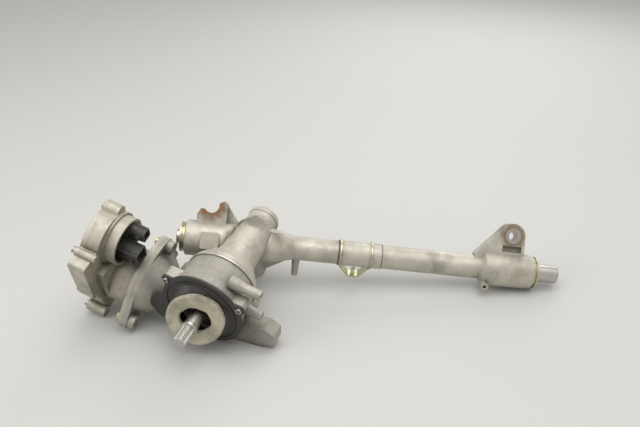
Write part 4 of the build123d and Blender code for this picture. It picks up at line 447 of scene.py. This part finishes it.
def rusty_steel(name, rust):
    """Rusted steel: dark and orange crusts over a rough skin."""
    material, tree, shader, place = new_material(name)
    shader.inputs["Metallic"].default_value = 0.1
    crust = noise(tree, place, 260.0, 8.0, 0.7)
    orange = (min(1.0, rust[0] * 1.7), rust[1] * 1.5, rust[2] * 1.1)
    dark = (rust[0] * 0.35, rust[1] * 0.4, rust[2] * 0.6)
    skin = mixed(tree, ramp(tree, crust, 0.35, 0.62), dark, rust)
    skin = mixed(tree, ramp(tree, noise(tree, place, 90.0, 6.0), 0.52, 0.7), skin, orange)
    tree.links.new(skin, shader.inputs["Base Color"])
    shader.inputs["Roughness"].default_value = 0.82
    bumped(tree, shader, crust, 0.0005, 0.8, 0.0004)
    return material


def moulded_plastic(name, colour, roughness, grain=700.0, dust=0.12):
    """Moulded plastic: fine leather grain, dusty on its open faces."""
    material, tree, shader, place = new_material(name)
    shader.inputs["Specular IOR Level"].default_value = 0.42
    haze = ramp(tree, noise(tree, place, 48.0, 7.0, 0.6), 0.42, 0.75)
    dusty = tuple(channel * 0.6 + 0.16 for channel in colour)
    skin = mixed(tree, maths(tree, "MULTIPLY", haze, dust), colour, dusty)
    tree.links.new(skin, shader.inputs["Base Color"])
    sheen = ramp(tree, haze, 0.0, 1.0, roughness, min(1.0, roughness + 0.22))
    tree.links.new(sheen, shader.inputs["Roughness"])
    bumped(tree, shader, noise(tree, place, grain, 3.0, 0.6), 0.0001, 0.4, 0.0005)
    return material


def open_foam(name, colour):
    """Open-cell foam: small pores with painted shade in their hollows, and greasy, darker patches."""
    material, tree, shader, place = new_material(name)
    shader.inputs["Specular IOR Level"].default_value = 0.15
    shader.inputs["Sheen Weight"].default_value = 0.25
    shader.inputs["Roughness"].default_value = 0.95
    pores = tree.nodes.new("ShaderNodeTexVoronoi")
    pores.feature = "SMOOTH_F1"
    pores.inputs["Scale"].default_value = 900.0
    tree.links.new(place, pores.inputs["Vector"])
    patches = ramp(tree, noise(tree, place, 42.0, 6.0, 0.6), 0.38, 0.68)
    dark = tuple(channel * 0.66 for channel in colour)
    pale = tuple(min(1.0, channel * 1.22) for channel in colour)
    skin = mixed(tree, patches, dark, pale)
    # Painted shade: each pore darkens towards its middle, where the bump sinks.
    hollow = ramp(tree, pores.outputs["Distance"], 0.0, 0.55, 0.5, 0.0)
    skin = mixed(tree, hollow, skin, tuple(channel * 0.4 for channel in colour))
    tree.links.new(skin, shader.inputs["Base Color"])
    bumped(tree, shader, pores.outputs["Distance"], 0.0006, 0.8)
    return material


def wound_copper(name):
    """Enamelled copper wire, in fine turns."""
    material, tree, shader, place = new_material(name)
    shader.inputs["Metallic"].default_value = 0.9
    shader.inputs["Roughness"].default_value = 0.35
    turns = tree.nodes.new("ShaderNodeTexWave")
    turns.inputs["Scale"].default_value = 420.0
    turns.inputs["Distortion"].default_value = 0.6
    tree.links.new(place, turns.inputs["Vector"])
    skin = mixed(tree, turns.outputs["Fac"], (0.30, 0.10, 0.035), (0.68, 0.30, 0.12))
    tree.links.new(skin, shader.inputs["Base Color"])
    bumped(tree, shader, turns.outputs["Fac"], 0.0003, 0.7)
    return material


def lacquered_board(name):
    """Green circuit board with darker tracks."""
    material, tree, shader, place = new_material(name)
    tracks = tree.nodes.new("ShaderNodeTexBrick")
    tracks.inputs["Scale"].default_value = 90.0
    tracks.inputs["Mortar Size"].default_value = 0.03
    tracks.inputs["Color1"].default_value = (0.012, 0.10, 0.045, 1.0)
    tracks.inputs["Color2"].default_value = (0.014, 0.13, 0.055, 1.0)
    tracks.inputs["Mortar"].default_value = (0.03, 0.22, 0.10, 1.0)
    tree.links.new(place, tracks.inputs["Vector"])
    tree.links.new(tracks.outputs["Color"], shader.inputs["Base Color"])
    shader.inputs["Roughness"].default_value = 0.3
    bumped(tree, shader, tracks.outputs["Fac"], 0.0001, 0.4)
    return material


def soft_rubber(name):
    """Black rubber with a pale bloom."""
    return moulded_plastic(name, (0.018, 0.018, 0.018), 0.62, 500.0, 0.2)


def tube_stains(grime_and_shade, rust):
    """Stains of the rack housing, each a place, an inner and an outer reach, a strength and a colour. Rust
    lies round the two mounting points. Oily dirt lies between the left body and the tower, on the neck and
    along the tube."""
    olive = (rust[0] * 0.70, rust[1] * 1.15, rust[2] * 1.5)
    return (
        (tuple(RIGHT_EYE), 0.0180, 0.0250, 0.75, olive),
        (tuple(LEFT_SEAT), 0.0200, 0.0290, 0.80, olive),
        (tuple(LEFT_SEAT), 0.0170, 0.0200, 0.90, tuple(channel * 1.1 for channel in rust)),
        ((0.0769, -0.0180, 0.0181), 0.010, 0.018, 0.85, grime_and_shade),
        ((0.0873, -0.0011, 0.0255), 0.010, 0.018, 0.80, grime_and_shade),
        ((0.1038, -0.0038, 0.0392), 0.010, 0.019, 0.70, grime_and_shade),
        ((0.1368, -0.0073, 0.0186), 0.006, 0.016, 0.70, grime_and_shade),
        ((0.1550, -0.0100, 0.0120), 0.006, 0.022, 0.45, grime_and_shade),
        ((0.2274, 0.0020, 0.0169), 0.003, 0.012, 0.50, grime_and_shade),
        ((0.3638, -0.0070, 0.0155), 0.006, 0.013, 0.35, grime_and_shade),
        ((0.3710, -0.0169, 0.0021), 0.006, 0.013, 0.40, grime_and_shade),
        ((0.3857, -0.0062, 0.0158), 0.005, 0.011, 0.35, grime_and_shade),
        ((0.4873, -0.0215, 0.0128), 0.004, 0.013, 0.35, olive),
    )


def make_finishes(finishes):
    """Every material, by its short name."""
    grime_and_shade = tuple(finishes.grime_and_shade_colour)
    rust = tuple(finishes.rust_colour)
    motor = tuple(finishes.motor_colour)
    grain = finishes.cast_grain
    amount = finishes.grime_and_shade_amount
    return {
        "tube": cast_aluminium("cast_tube", tuple(finishes.tube_colour), grime_and_shade, grain, amount * 0.85, 22.0,
                               tube_stains(grime_and_shade, rust)),
        "drum": cast_aluminium("cast_drum", tuple(finishes.drum_colour), grime_and_shade, grain, amount),
        "edge": turned_steel("machined_edge", (0.80, 0.78, 0.72), 0.28, 0.2),
        # The dark band finish also colours the discs of painted shade in the screw sockets.
        "band": moulded_plastic("dark_band", (0.045, 0.040, 0.034), 0.6, 500.0, 0.3),
        "motor": cast_aluminium("cast_motor", motor, grime_and_shade, grain * 0.8, amount),
        "cover": cast_aluminium("sheet_cover", motor, grime_and_shade, grain * 0.4, amount * 0.7, 12.0),
        "ground": turned_steel("ground_steel", (0.56, 0.54, 0.50), 0.30, 0.40),
        "race": turned_steel("bearing_steel", (0.62, 0.62, 0.60), 0.18, 0.1),
        "oiled": turned_steel("oiled_steel", (0.20, 0.19, 0.18), 0.38, 0.3),
        "screw": turned_steel("screw_steel", (0.46, 0.44, 0.40), 0.36, 0.5),
        "zinc": turned_steel("yellow_zinc", tuple(finishes.zinc_colour), 0.30, 0.35, 0.9),
        "rust": rusty_steel("rusty_steel", rust),
        "plastic": moulded_plastic("black_plastic", tuple(finishes.plastic_colour), 0.42),
        "nylon": moulded_plastic("natural_nylon", (0.66, 0.61, 0.45), 0.45, 500.0, 0.25),
        "white": moulded_plastic("white_plastic", (0.70, 0.68, 0.60), 0.5, 500.0, 0.35),
        "rubber": soft_rubber("black_rubber"),
        "foam": open_foam("open_foam", tuple(finishes.foam_colour)),
        "lamination": turned_steel("stacked_sheet", (0.28, 0.28, 0.29), 0.5, 0.2),
        "copper": wound_copper("copper_wire"),
        "magnet": turned_steel("sintered_magnet", (0.16, 0.16, 0.17), 0.55, 0.15, 0.6),
        "board": lacquered_board("circuit_lacquer"),
    }


NODE_FINISHES = {
    "tube": ("rack_housing", "tower_cap"),
    "drum": ("gear_housing", "front_cover"),
    "motor": ("motor_housing", "ecu_housing", "motor_end_plate"),
    "cover": ("ecu_cover",),
    "ground": ("rack_bar", "pinion_shaft", "worm_shaft", "input_shaft", "torsion_bar", "motor_shaft",
               "yoke_plug"),
    "race": ("pinion_bearing_inner", "pinion_bearing_outer", "column_bearing_inner", "column_bearing_outer",
             "nose_bearing", "worm_bearings_inner", "worm_bearings_outer", "motor_bearings_inner",
             "motor_bearings_outer", "input_bearing_inner", "input_bearing_outer", "worm_wheel_hub",
             "bearing_lock_ring", "worm_retainer"),
    "oiled": ("yoke_spring", "coupling_worm", "coupling_motor"),
    "screw": ("collar_screws", "ecu_screws", "eye_bushing"),
    "zinc": ("boot_ring_left", "boot_ring_right", "strap_clip", "housing_screws", "motor_screws"),
    "plastic": ("dust_collar", "power_connector", "signal_connector", "torque_sensor", "rack_bush"),
    "nylon": ("worm_wheel_rim", "yoke_slipper"),
    "white": ("clip_plug",),
    "rubber": ("input_seal", "coupling_spider"),
    "foam": ("foam_seal",),
    "lamination": ("stator_core", "rotor_core"),
    "copper": ("stator_coils",),
    "magnet": ("rotor_magnets", "sensor_magnet"),
    "board": ("circuit_board",),
}
materials = {}


def dress(piece, finish):
    """The piece wears one finish in every slot."""
    piece.data.materials.clear()
    piece.data.materials.append(materials[finish])


# ---------------------------------------------------------------- operators
class RACK_OT_finishes(bpy.types.Operator):
    """Makes the finishes and gives one to every solid of the part"""

    bl_idname = "rack.finishes"
    bl_label = "Finishes"

    def execute(self, context):
        materials.update(make_finishes(context.scene.rack_finishes))
        for finish, nodes in NODE_FINISHES.items():
            for node in nodes:
                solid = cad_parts[node]
                if not solid.material_slots:
                    solid.data.materials.append(None)
                for slot in solid.material_slots:
                    slot.material = materials[finish]
        bare = set(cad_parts) - {node for nodes in NODE_FINISHES.values() for node in nodes}
        if bare:
            raise RuntimeError(f"no finish for {sorted(bare)}")
        return {"FINISHED"}


class RACK_OT_foam_ring(bpy.types.Operator):
    """Models the foam ring of the dust collar as a soft, dented ring"""

    bl_idname = "rack.foam_ring"
    bl_label = "Foam ring"

    def execute(self, context):
        sizes = context.scene.rack_sizes
        low = DRIVE_DIR * cos(sizes.collar_aim) + RISE_DIR * sin(sizes.collar_aim)
        axis = SHAFT_DIR * cos(sizes.collar_tilt) + low * sin(sizes.collar_tilt)
        corner_low, corner_high = (np.array(corner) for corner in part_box("foam_seal"))
        middle = (corner_low + corner_high) / 2
        side = np.cross(axis, RISE_DIR)
        side /= np.linalg.norm(side)
        piece = foam_ring(middle, axis, side, sizes)
        dress(piece, "foam")
        finish_piece(piece, "housing", "foam", "foam_seal")
        return {"FINISHED"}


def foam_ring(middle, axis, side, sizes):
    """Ring whose section is a soft rectangle: each of its two half-widths times a cosine or a sine raised,
    with its sign kept, to the power FOAM_CORNER. Shallow hollows are sums of a few waves round the ring.
    The outer radius swells by two, three and eight waves, and the hole by a six-sided and a two-sided wave,
    as if cut by hand."""
    turn, round_section = np.meshgrid(np.linspace(0, 2 * pi, 240, endpoint=False),
                                      np.linspace(0, 2 * pi, 56, endpoint=False), indexing="ij")
    outer = sizes.foam_outer * (1 + 0.016 * np.sin(2 * turn + 0.4) + 0.013 * np.sin(3 * turn + 2.0)
                                + 0.008 * np.sin(8 * turn))
    inner = sizes.foam_inner * (1 - 0.06 * np.abs(np.sin(3 * turn + 0.3)) + 0.07 * np.sin(2 * turn + 1.1))
    half_width = (outer - inner) / 2
    half_height = sizes.foam_thickness / 2

    def soft(wave):
        return np.sign(wave) * np.abs(wave) ** FOAM_CORNER

    hollow = (np.sin(3 * turn + 0.7) + 0.7 * np.sin(7 * turn + 2.1) * np.cos(round_section)
              + 0.6 * np.cos(5 * turn + 1.3) * np.sin(round_section))
    radius = (outer + inner) / 2 + half_width * soft(np.cos(round_section))
    radius = radius - sizes.foam_dent * 0.35 * (1 + np.abs(hollow)) * np.cos(round_section)
    upper = np.clip(np.sin(round_section), 0, 1)
    dent = sizes.foam_dent * 0.5 * np.clip(hollow, 0, 2) * upper
    height = half_height * soft(np.sin(round_section)) - dent
    across = np.cross(axis, side)
    spoke = np.cos(turn)[..., None] * side + np.sin(turn)[..., None] * across
    points = middle + radius[..., None] * spoke + height[..., None] * axis
    return surface("foam_ring", points, closed_along=True, closed_across=True)


def ecu_point(across, down, along):
    """Place in the control unit's frame: worm centre, back along the motor axis, then across and down."""
    return WORM_CENTRE - DRIVE_DIR * along + ECU_DIR * across + ECU_DOWN * down


def head_rims(name, centres, axis, side, radius, flats, height):
    """Raised rims on round screw heads: each runs from a rounded outer edge in to a six-sided hole. The
    hole's radius is half the width across flats over the cosine of the angle from the middle of its side."""
    angle = np.linspace(0.0, 2 * pi, 72, endpoint=False)
    hexagon = flats / 2 / np.cos(np.mod(angle, pi / 3) - pi / 6)
    across = np.cross(axis, side)
    spoke = np.cos(angle)[:, None] * side + np.sin(angle)[:, None] * across
    share = np.array([0.0, 0.0, 0.12, 0.3, 0.82, 0.94, 1.0, 1.0])
    rise = np.array([-0.4, 0.4, 0.9, 1.0, 1.0, 0.8, 0.4, -0.4]) * height
    reach = radius + (hexagon[:, None] - radius) * share[None, :]
    rim = reach[..., None] * spoke[:, None, :] + rise[None, :, None] * axis
    rims = [surface(name, centre + rim, closed_along=True, closed_across=True) for centre in centres]
    return joined(name, rims)


def socket_shade_discs(name, centres, axis, side, flats):
    """Painted shade on the floors of the six-sided holes: thin dark discs, each turned from a flat oblong
    section.
    """
    reach = flats * DISC_SHARE
    low, high = DISC_SPAN
    profile = [(DISC_POLE, low), (reach, low), (reach, high), (DISC_POLE, high)]
    return joined(name, [turned(name, centre, axis, side, profile, 24) for centre in centres])


class RACK_OT_screw_heads(bpy.types.Operator):
    """Adds the rims of the collar's and the control unit cover's screws, and dark discs of painted shade in
    their sockets
    """

    bl_idname = "rack.screw_heads"
    bl_label = "Screw heads"

    def execute(self, context):
        for name, centres, axis, side, radius, flats, height in screw_places():
            rims = head_rims(f"{name}_rims", centres, axis, side, radius, flats, height)
            dress(rims, "screw")
            finish_piece(rims, "housing", "screw_steel")
            # Painted shade: a dark disc fills each six-sided socket where its inside would be in shade.
            shade_discs = socket_shade_discs(f"{name}_sockets", centres, axis, side, flats)
            dress(shade_discs, "band")
            finish_piece(shade_discs, "housing", "black_plastic")
        return {"FINISHED"}


def screw_places():
    """Each kind's name, centres of the heads' faces, axis, side, rim radius, width across flats and rim
    height."""
    ears = [DRIVE_DIR * cos(turn) + RISE_DIR * sin(turn) for turn in np.radians(COLLAR_EAR_ANGLES)]
    collar = [CROSSING + SHAFT_DIR * COLLAR_HEAD + ear * COLLAR_EAR_REACH for ear in ears]
    cover = [ecu_point(across, down, ECU_HEAD) for across, down in ECU_LUGS]
    collar_radius = COLLAR_HEAD_RADIUS * HEAD_FIT
    cover_radius = ECU_HEAD_RADIUS * HEAD_FIT
    return [
        ("collar_screw", collar, SHAFT_DIR, DRIVE_DIR, collar_radius, COLLAR_FLATS, COLLAR_RIM_HEIGHT),
        ("cover_screw", cover, -DRIVE_DIR, ECU_DIR, cover_radius, COVER_FLATS, COVER_RIM_HEIGHT),
    ]


class RACK_OT_socket_ribs(bpy.types.Operator):
    """Adds the ribs, the locks and the terminals of the two connector sockets"""

    bl_idname = "rack.socket_ribs"
    bl_label = "Socket ribs"

    def execute(self, context):
        piece = joined("terminals", [socket_blades(*terminals) for terminals in TERMINALS])
        dress(piece, "edge")
        finish_piece(piece, "housing", "screw_steel")
        ribs = joined("socket_ribs", [rib for place in SOCKETS.values() for rib in outer_ribs(place)])
        dress(ribs, "plastic")
        finish_piece(ribs, "housing", "black_plastic")
        return {"FINISHED"}


def socket_blades(node, columns, rows, half_width, half_height):
    """Rows of terminals that stand out of a socket's floor, spread evenly over half of its mouth."""
    place = SOCKETS[node]
    floor = place["mouth"] + SOCKET_DEPTH
    shift_x = np.linspace(-TERMINAL_SPREAD, TERMINAL_SPREAD, columns) * place["width"]
    shift_y = np.zeros(1)
    if rows > 1:
        shift_y = np.linspace(-TERMINAL_SPREAD, TERMINAL_SPREAD, rows) * place["height"]
    feet = [ecu_point(place["across"] + x, place["down"] + y, floor) for x in shift_x for y in shift_y]
    size = (half_width, half_height, SOCKET_DEPTH * TERMINAL_SHARE)
    blades = [rounded_bar("blade", foot, DRIVE_DIR, ECU_DIR, *size) for foot in feet]
    return joined(f"{node}_terminals", blades)


def outer_ribs(place):
    """Two guide ribs along each of a socket's four outer faces, and a lock on one of them."""
    foot = place["mouth"] + RIB_FOOT
    width, height = place["width"], place["height"]
    ribs = []
    for turn, reach, spread in ((0.0, width / 2, height), (pi / 2, height / 2, width)):
        for sign in (1, -1):
            for share in (-RIB_SPREAD, RIB_SPREAD):
                x = sign * reach * cos(turn) - share * spread * sin(turn)
                y = sign * reach * sin(turn) + share * spread * cos(turn)
                centre = ecu_point(place["across"] + x, place["down"] + y, foot)
                size = (RIB_HALF_WIDTH, RIB_HALF_WIDTH, RIB_LENGTH)
                ribs.append(rounded_bar("rib", centre, DRIVE_DIR, ECU_DIR, *size))
    lock = ecu_point(place["across"] + width / 2 + LOCK_STAND, place["down"], foot - LOCK_START)
    size = (LOCK_HALF_WIDTH, height * LOCK_SHARE, LOCK_LENGTH)
    ribs.append(rounded_bar("lock", lock, DRIVE_DIR, ECU_DIR, *size))
    return ribs


def rounded_bar(name, foot, axis, side, half_width, half_height, length):
    """Bar along an axis: half-sizes times the signed square root of a cosine and a sine, six tenths as wide
    near its tip and narrowed to a thousandth at its two open ends."""
    across = np.cross(axis, side)
    angle = np.linspace(0, 2 * pi, 16, endpoint=False)
    wave_x = np.sign(np.cos(angle)) * np.sqrt(np.abs(np.cos(angle))) * half_width
    wave_y = np.sign(np.sin(angle)) * np.sqrt(np.abs(np.sin(angle))) * half_height
    section = wave_x[:, None] * side + wave_y[:, None] * across
    share = np.array([1e-3, 1.0, 1.0, 0.6, 1e-3])
    along = np.array([0.0, 0.0, length - half_width, length, length])
    points = foot + share[:, None, None] * section[None] + along[:, None, None] * axis
    return surface(name, points, closed_across=True)


class RACK_OT_seam_edge(bpy.types.Operator):
    """Adds the bright machined edge where the two castings meet"""

    bl_idname = "rack.seam_edge"
    bl_label = "Seam edge"

    def execute(self, context):
        radius = context.scene.rack_sizes.seam_radius
        centre = CROSSING + SHAFT_DIR * SEAM_STATION
        band = soft_band(radius - SEAM_WALL, radius, *SEAM_SPAN)
        piece = turned("seam_edge", centre, SHAFT_DIR, DRIVE_DIR, band, count=192)
        dress(piece, "edge")
        finish_piece(piece, "housing", "cast_drum")
        return {"FINISHED"}


def soft_band(inner, outer, low, high):
    """Section of a soft band: half-sizes times the signed square root of a cosine and a sine."""
    angle = np.linspace(0, 2 * pi, 20, endpoint=False)
    wave = np.stack([np.cos(angle), np.sin(angle)], axis=-1)
    wave = np.sign(wave) * np.sqrt(np.abs(wave))
    middle = np.array([(inner + outer) / 2, (low + high) / 2])
    half = np.array([(outer - inner) / 2, (high - low) / 2])
    return middle + wave * half


class RACK_OT_tower_rim(bpy.types.Operator):
    """Adds the raised rim and the dark joint line round the tower's end"""

    bl_idname = "rack.tower_rim"
    bl_label = "Tower rim"

    def execute(self, context):
        radius = context.scene.rack_sizes.tower_radius
        middle = CROSSING + SHAFT_DIR * (TOWER_END + TOWER_RIM_OFFSET)
        for name, rise, span, finish in TOWER_BANDS:
            band = soft_band(radius - TOWER_RIM_ROOT, radius + rise, *span)
            piece = turned(name, middle, SHAFT_DIR, DRIVE_DIR, band, count=128)
            dress(piece, finish)
            finish_piece(piece, "housing", "cast_housing")
        return {"FINISHED"}


class RACK_OT_bands(bpy.types.Operator):
    """Adds the dark bands at the two ends of the tube's sleeve"""

    bl_idname = "rack.bands"
    bl_label = "Tube bands"

    def execute(self, context):
        radius = context.scene.rack_sizes.band_radius
        rings = [
            turned("band", TUBE_DIR * x, TUBE_DIR, UP, soft_band(radius - BAND_WALL, radius, -wide, wide))
            for x, wide in BANDS
        ]
        piece = joined("tube_bands", rings)
        dress(piece, "band")
        finish_piece(piece, "housing", "cast_housing")
        return {"FINISHED"}


class RACK_OT_seat_lining(bpy.types.Operator):
    """Adds the rusty half-round lining in the left seat"""

    bl_idname = "rack.seat_lining"
    bl_label = "Left seat lining"

    def execute(self, context):
        piece = seat_lining(context.scene.rack_sizes.seat_radius)
        dress(piece, "rust")
        finish_piece(piece, "housing", "rusty_steel")
        return {"FINISHED"}


def seat_lining(radius):
    """Thin half-round shell: the section of a flat, soft strip, swept part of the way about the seat's axis
    and swollen by nine waves round it."""
    section = soft_band(radius, LINING_OUTER, -LINING_HALF_WIDTH, LINING_HALF_WIDTH)
    angle = np.radians(np.linspace(*LINING_ARC, 64))
    spoke = np.cos(angle)[:, None] * TUBE_DIR + np.sin(angle)[:, None] * MOUNT_UP
    round_section = np.linspace(0, 2 * pi, len(section), endpoint=False)
    flake = 1 + LINING_FLAKE * np.sin(9 * angle)[:, None] * np.sin(round_section)
    reach = (section[:, 0] * flake)[..., None]
    points = LEFT_SEAT + reach * spoke[:, None, :] + section[None, :, 1, None] * MOUNT_AXIS
    shell = surface("seat_lining", points[:, ::-1], closed_across=True)
    return capped(shell, len(section))


def capped(piece, count):
    """Closes the two open ends of a swept section with one face each."""
    mesh = bmesh.new()
    mesh.from_mesh(piece.data)
    mesh.verts.ensure_lookup_table()
    total = len(mesh.verts)
    mesh.faces.new([mesh.verts[index] for index in range(count)])
    mesh.faces.new([mesh.verts[index] for index in range(total - 1, total - count - 1, -1)])
    bmesh.ops.recalc_face_normals(mesh, faces=mesh.faces)
    mesh.to_mesh(piece.data)
    mesh.free()
    return piece


class RACK_OT_turret_shade(bpy.types.Operator):
    """Adds a black cup of painted shade in the connector turret"""

    bl_idname = "rack.turret_liner"
    bl_label = "Turret liner"

    def execute(self, context):
        outer = context.scene.rack_sizes.turret_shade_radius
        centre = ecu_point(*TURRET, TURRET_FLOOR)
        depth = TURRET_FLOOR - TURRET_MOUTH
        profile = [
            (SHADE_CUP_POLE, SHADE_CUP_BASE), (outer, SHADE_CUP_BASE),
            *((outer - inset, depth - drop) for inset, drop in SHADE_CUP_LIP),
            (outer - SHADE_CUP_FOOT, SHADE_CUP_FOOT), (SHADE_CUP_DISH * outer, SHADE_CUP_FLOOR), (SHADE_CUP_POLE, SHADE_CUP_FLOOR),
        ]
        # Painted shade: a black cup fills the turret's inside, which is in shade.
        piece = turned("turret_liner", centre, DRIVE_DIR, ECU_DIR, profile)
        dress(piece, "plastic")
        finish_piece(piece, "housing", "black_plastic")
        return {"FINISHED"}


class RACK_OT_stage(bpy.types.Operator):
    """Sets the pale floor, the soft lights and the camera"""

    bl_idname = "rack.stage"
    bl_label = "Stage"

    def execute(self, context):
        sizes = context.scene.rack_sizes
        make_floor(sizes.floor_size)
        make_lights(sizes.key_power)
        make_camera()
        return {"FINISHED"}


# ---------------------------------------------------------------- stage
FLOOR_UP = np.array([-0.113, 0.0, 0.9936])
FLOOR_UP = FLOOR_UP / np.linalg.norm(FLOOR_UP)
FLOOR_OFFSET = -0.0825
FLOOR_COLOUR = (0.50, 0.495, 0.475)
LAMP_TARGET = (0.2, -0.05, 0.0)
LAMPS = (                      # name, place, width and share of the key light's power
    ("overhead", (0.1, -0.3, 1.6), 1.6, 1.0),
    ("left_side", (-1.4, -0.6, 0.9), 1.0, 0.45),
    ("behind", (0.6, 1.3, 0.9), 1.0, 0.35),
)
SKY_COLOUR = (0.93, 0.92, 0.90)
SKY_STRENGTH = 0.75


def plain_colour(name, colour):
    """Matt, faintly clouded colour."""
    material, tree, shader, place = new_material(name)
    mottle = mixed(tree, noise(tree, place, 3.0, 3.0), colour, tuple(channel * 0.985 for channel in colour))
    tree.links.new(mottle, shader.inputs["Base Color"])
    shader.inputs["Roughness"].default_value = 0.7
    shader.inputs["Specular IOR Level"].default_value = 0.25
    return material


def make_floor(width):
    """Flat floor square to its own upright: two directions across it times half its width."""
    along = np.array([FLOOR_UP[2], 0.0, -FLOOR_UP[0]])
    back = np.cross(FLOOR_UP, along)
    spread = np.array([-width / 2, width / 2])
    first, second = np.meshgrid(spread, spread, indexing="ij")
    points = FLOOR_UP * FLOOR_OFFSET + first[..., None] * along + second[..., None] * back
    floor = surface("floor", points)
    floor.data.materials.append(plain_colour("floor_paint", FLOOR_COLOUR))


def lamp(name, place, aim, size, power):
    """Square soft lamp that looks at a point."""
    light = bpy.data.lights.new(name, "AREA")
    light.shape = "SQUARE"
    light.size = size
    light.energy = power
    stand = bpy.data.objects.new(name, light)
    stand.location = place
    stand.rotation_euler = (Vector(aim) - Vector(place)).to_track_quat("-Z", "Y").to_euler()
    bpy.context.scene.collection.objects.link(stand)


def make_lights(power):
    """Soft lamps overhead, on the left and behind, and a pale sky."""
    for name, place, size, share in LAMPS:
        lamp(name, place, LAMP_TARGET, size, power * share)
    world = bpy.data.worlds.new("pale_sky")
    world.use_nodes = True
    sky = world.node_tree.nodes["Background"]
    sky.inputs["Color"].default_value = (*SKY_COLOUR, 1.0)
    sky.inputs["Strength"].default_value = SKY_STRENGTH
    bpy.context.scene.world = world


CAMERA_PLACE = Vector((0.1478, -0.8699, 0.5758))
CAMERA_AHEAD = Vector((0.045, 0.860, -0.508))
CAMERA_RIGHT = Vector((0.9935, 0.0149, 0.113))
SENSOR_WIDTH_MM = 36.0
LENS_MM = 40.5


def make_camera():
    """Camera at its place, its -Z ahead and its X to the right."""
    ahead = CAMERA_AHEAD.normalized()
    right = (CAMERA_RIGHT - ahead * CAMERA_RIGHT.dot(ahead)).normalized()
    up = right.cross(ahead)
    lens = bpy.data.cameras.new("camera")
    lens.sensor_width = SENSOR_WIDTH_MM
    lens.lens = LENS_MM
    lens.clip_start = 0.01
    lens.clip_end = 50.0
    camera = bpy.data.objects.new("camera", lens)
    turn = Matrix((right, up, -ahead)).transposed().to_4x4()
    camera.matrix_world = Matrix.Translation(CAMERA_PLACE) @ turn
    bpy.context.scene.collection.objects.link(camera)
    bpy.context.scene.camera = camera
    bpy.context.scene.view_settings.view_transform = "Standard"


# ---------------------------------------------------------------- panel and registration
class RACK_PT_panel(bpy.types.Panel):
    """Sidebar panel that lists the pieces"""

    bl_idname = "RACK_PT_panel"
    bl_label = "Steering rack"
    bl_space_type = "VIEW_3D"
    bl_region_type = "UI"
    bl_category = "Steering rack"

    def draw(self, context):
        column = self.layout.column()
        for settings in (context.scene.rack_finishes, context.scene.rack_sizes):
            for name in settings.bl_rna.properties.keys():
                if name not in {"rna_type", "name"}:
                    column.prop(settings, name)
        for operator in OPERATORS:
            column.operator(operator.bl_idname)


OPERATORS = (
    RACK_OT_finishes, RACK_OT_foam_ring, RACK_OT_tower_rim, RACK_OT_screw_heads, RACK_OT_socket_ribs,
    RACK_OT_seam_edge, RACK_OT_bands, RACK_OT_seat_lining, RACK_OT_turret_shade, RACK_OT_stage,
)
CLASSES = (SteeringRackFinishes, SteeringRackSizes, *OPERATORS, RACK_PT_panel)


def register():
    for cls in CLASSES:
        bpy.utils.register_class(cls)
    bpy.types.Scene.rack_finishes = bpy.props.PointerProperty(type=SteeringRackFinishes)
    bpy.types.Scene.rack_sizes = bpy.props.PointerProperty(type=SteeringRackSizes)


def unregister():
    del bpy.types.Scene.rack_sizes
    del bpy.types.Scene.rack_finishes
    for cls in reversed(CLASSES):
        bpy.utils.unregister_class(cls)


def main():
    """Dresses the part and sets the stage."""
    register()
    bpy.ops.rack.finishes()
    bpy.ops.rack.foam_ring()
    bpy.ops.rack.tower_rim()
    bpy.ops.rack.screw_heads()
    bpy.ops.rack.socket_ribs()
    bpy.ops.rack.seam_edge()
    bpy.ops.rack.bands()
    bpy.ops.rack.seat_lining()
    bpy.ops.rack.turret_liner()
    bpy.ops.rack.stage()


if __name__ == "__main__":
    main()
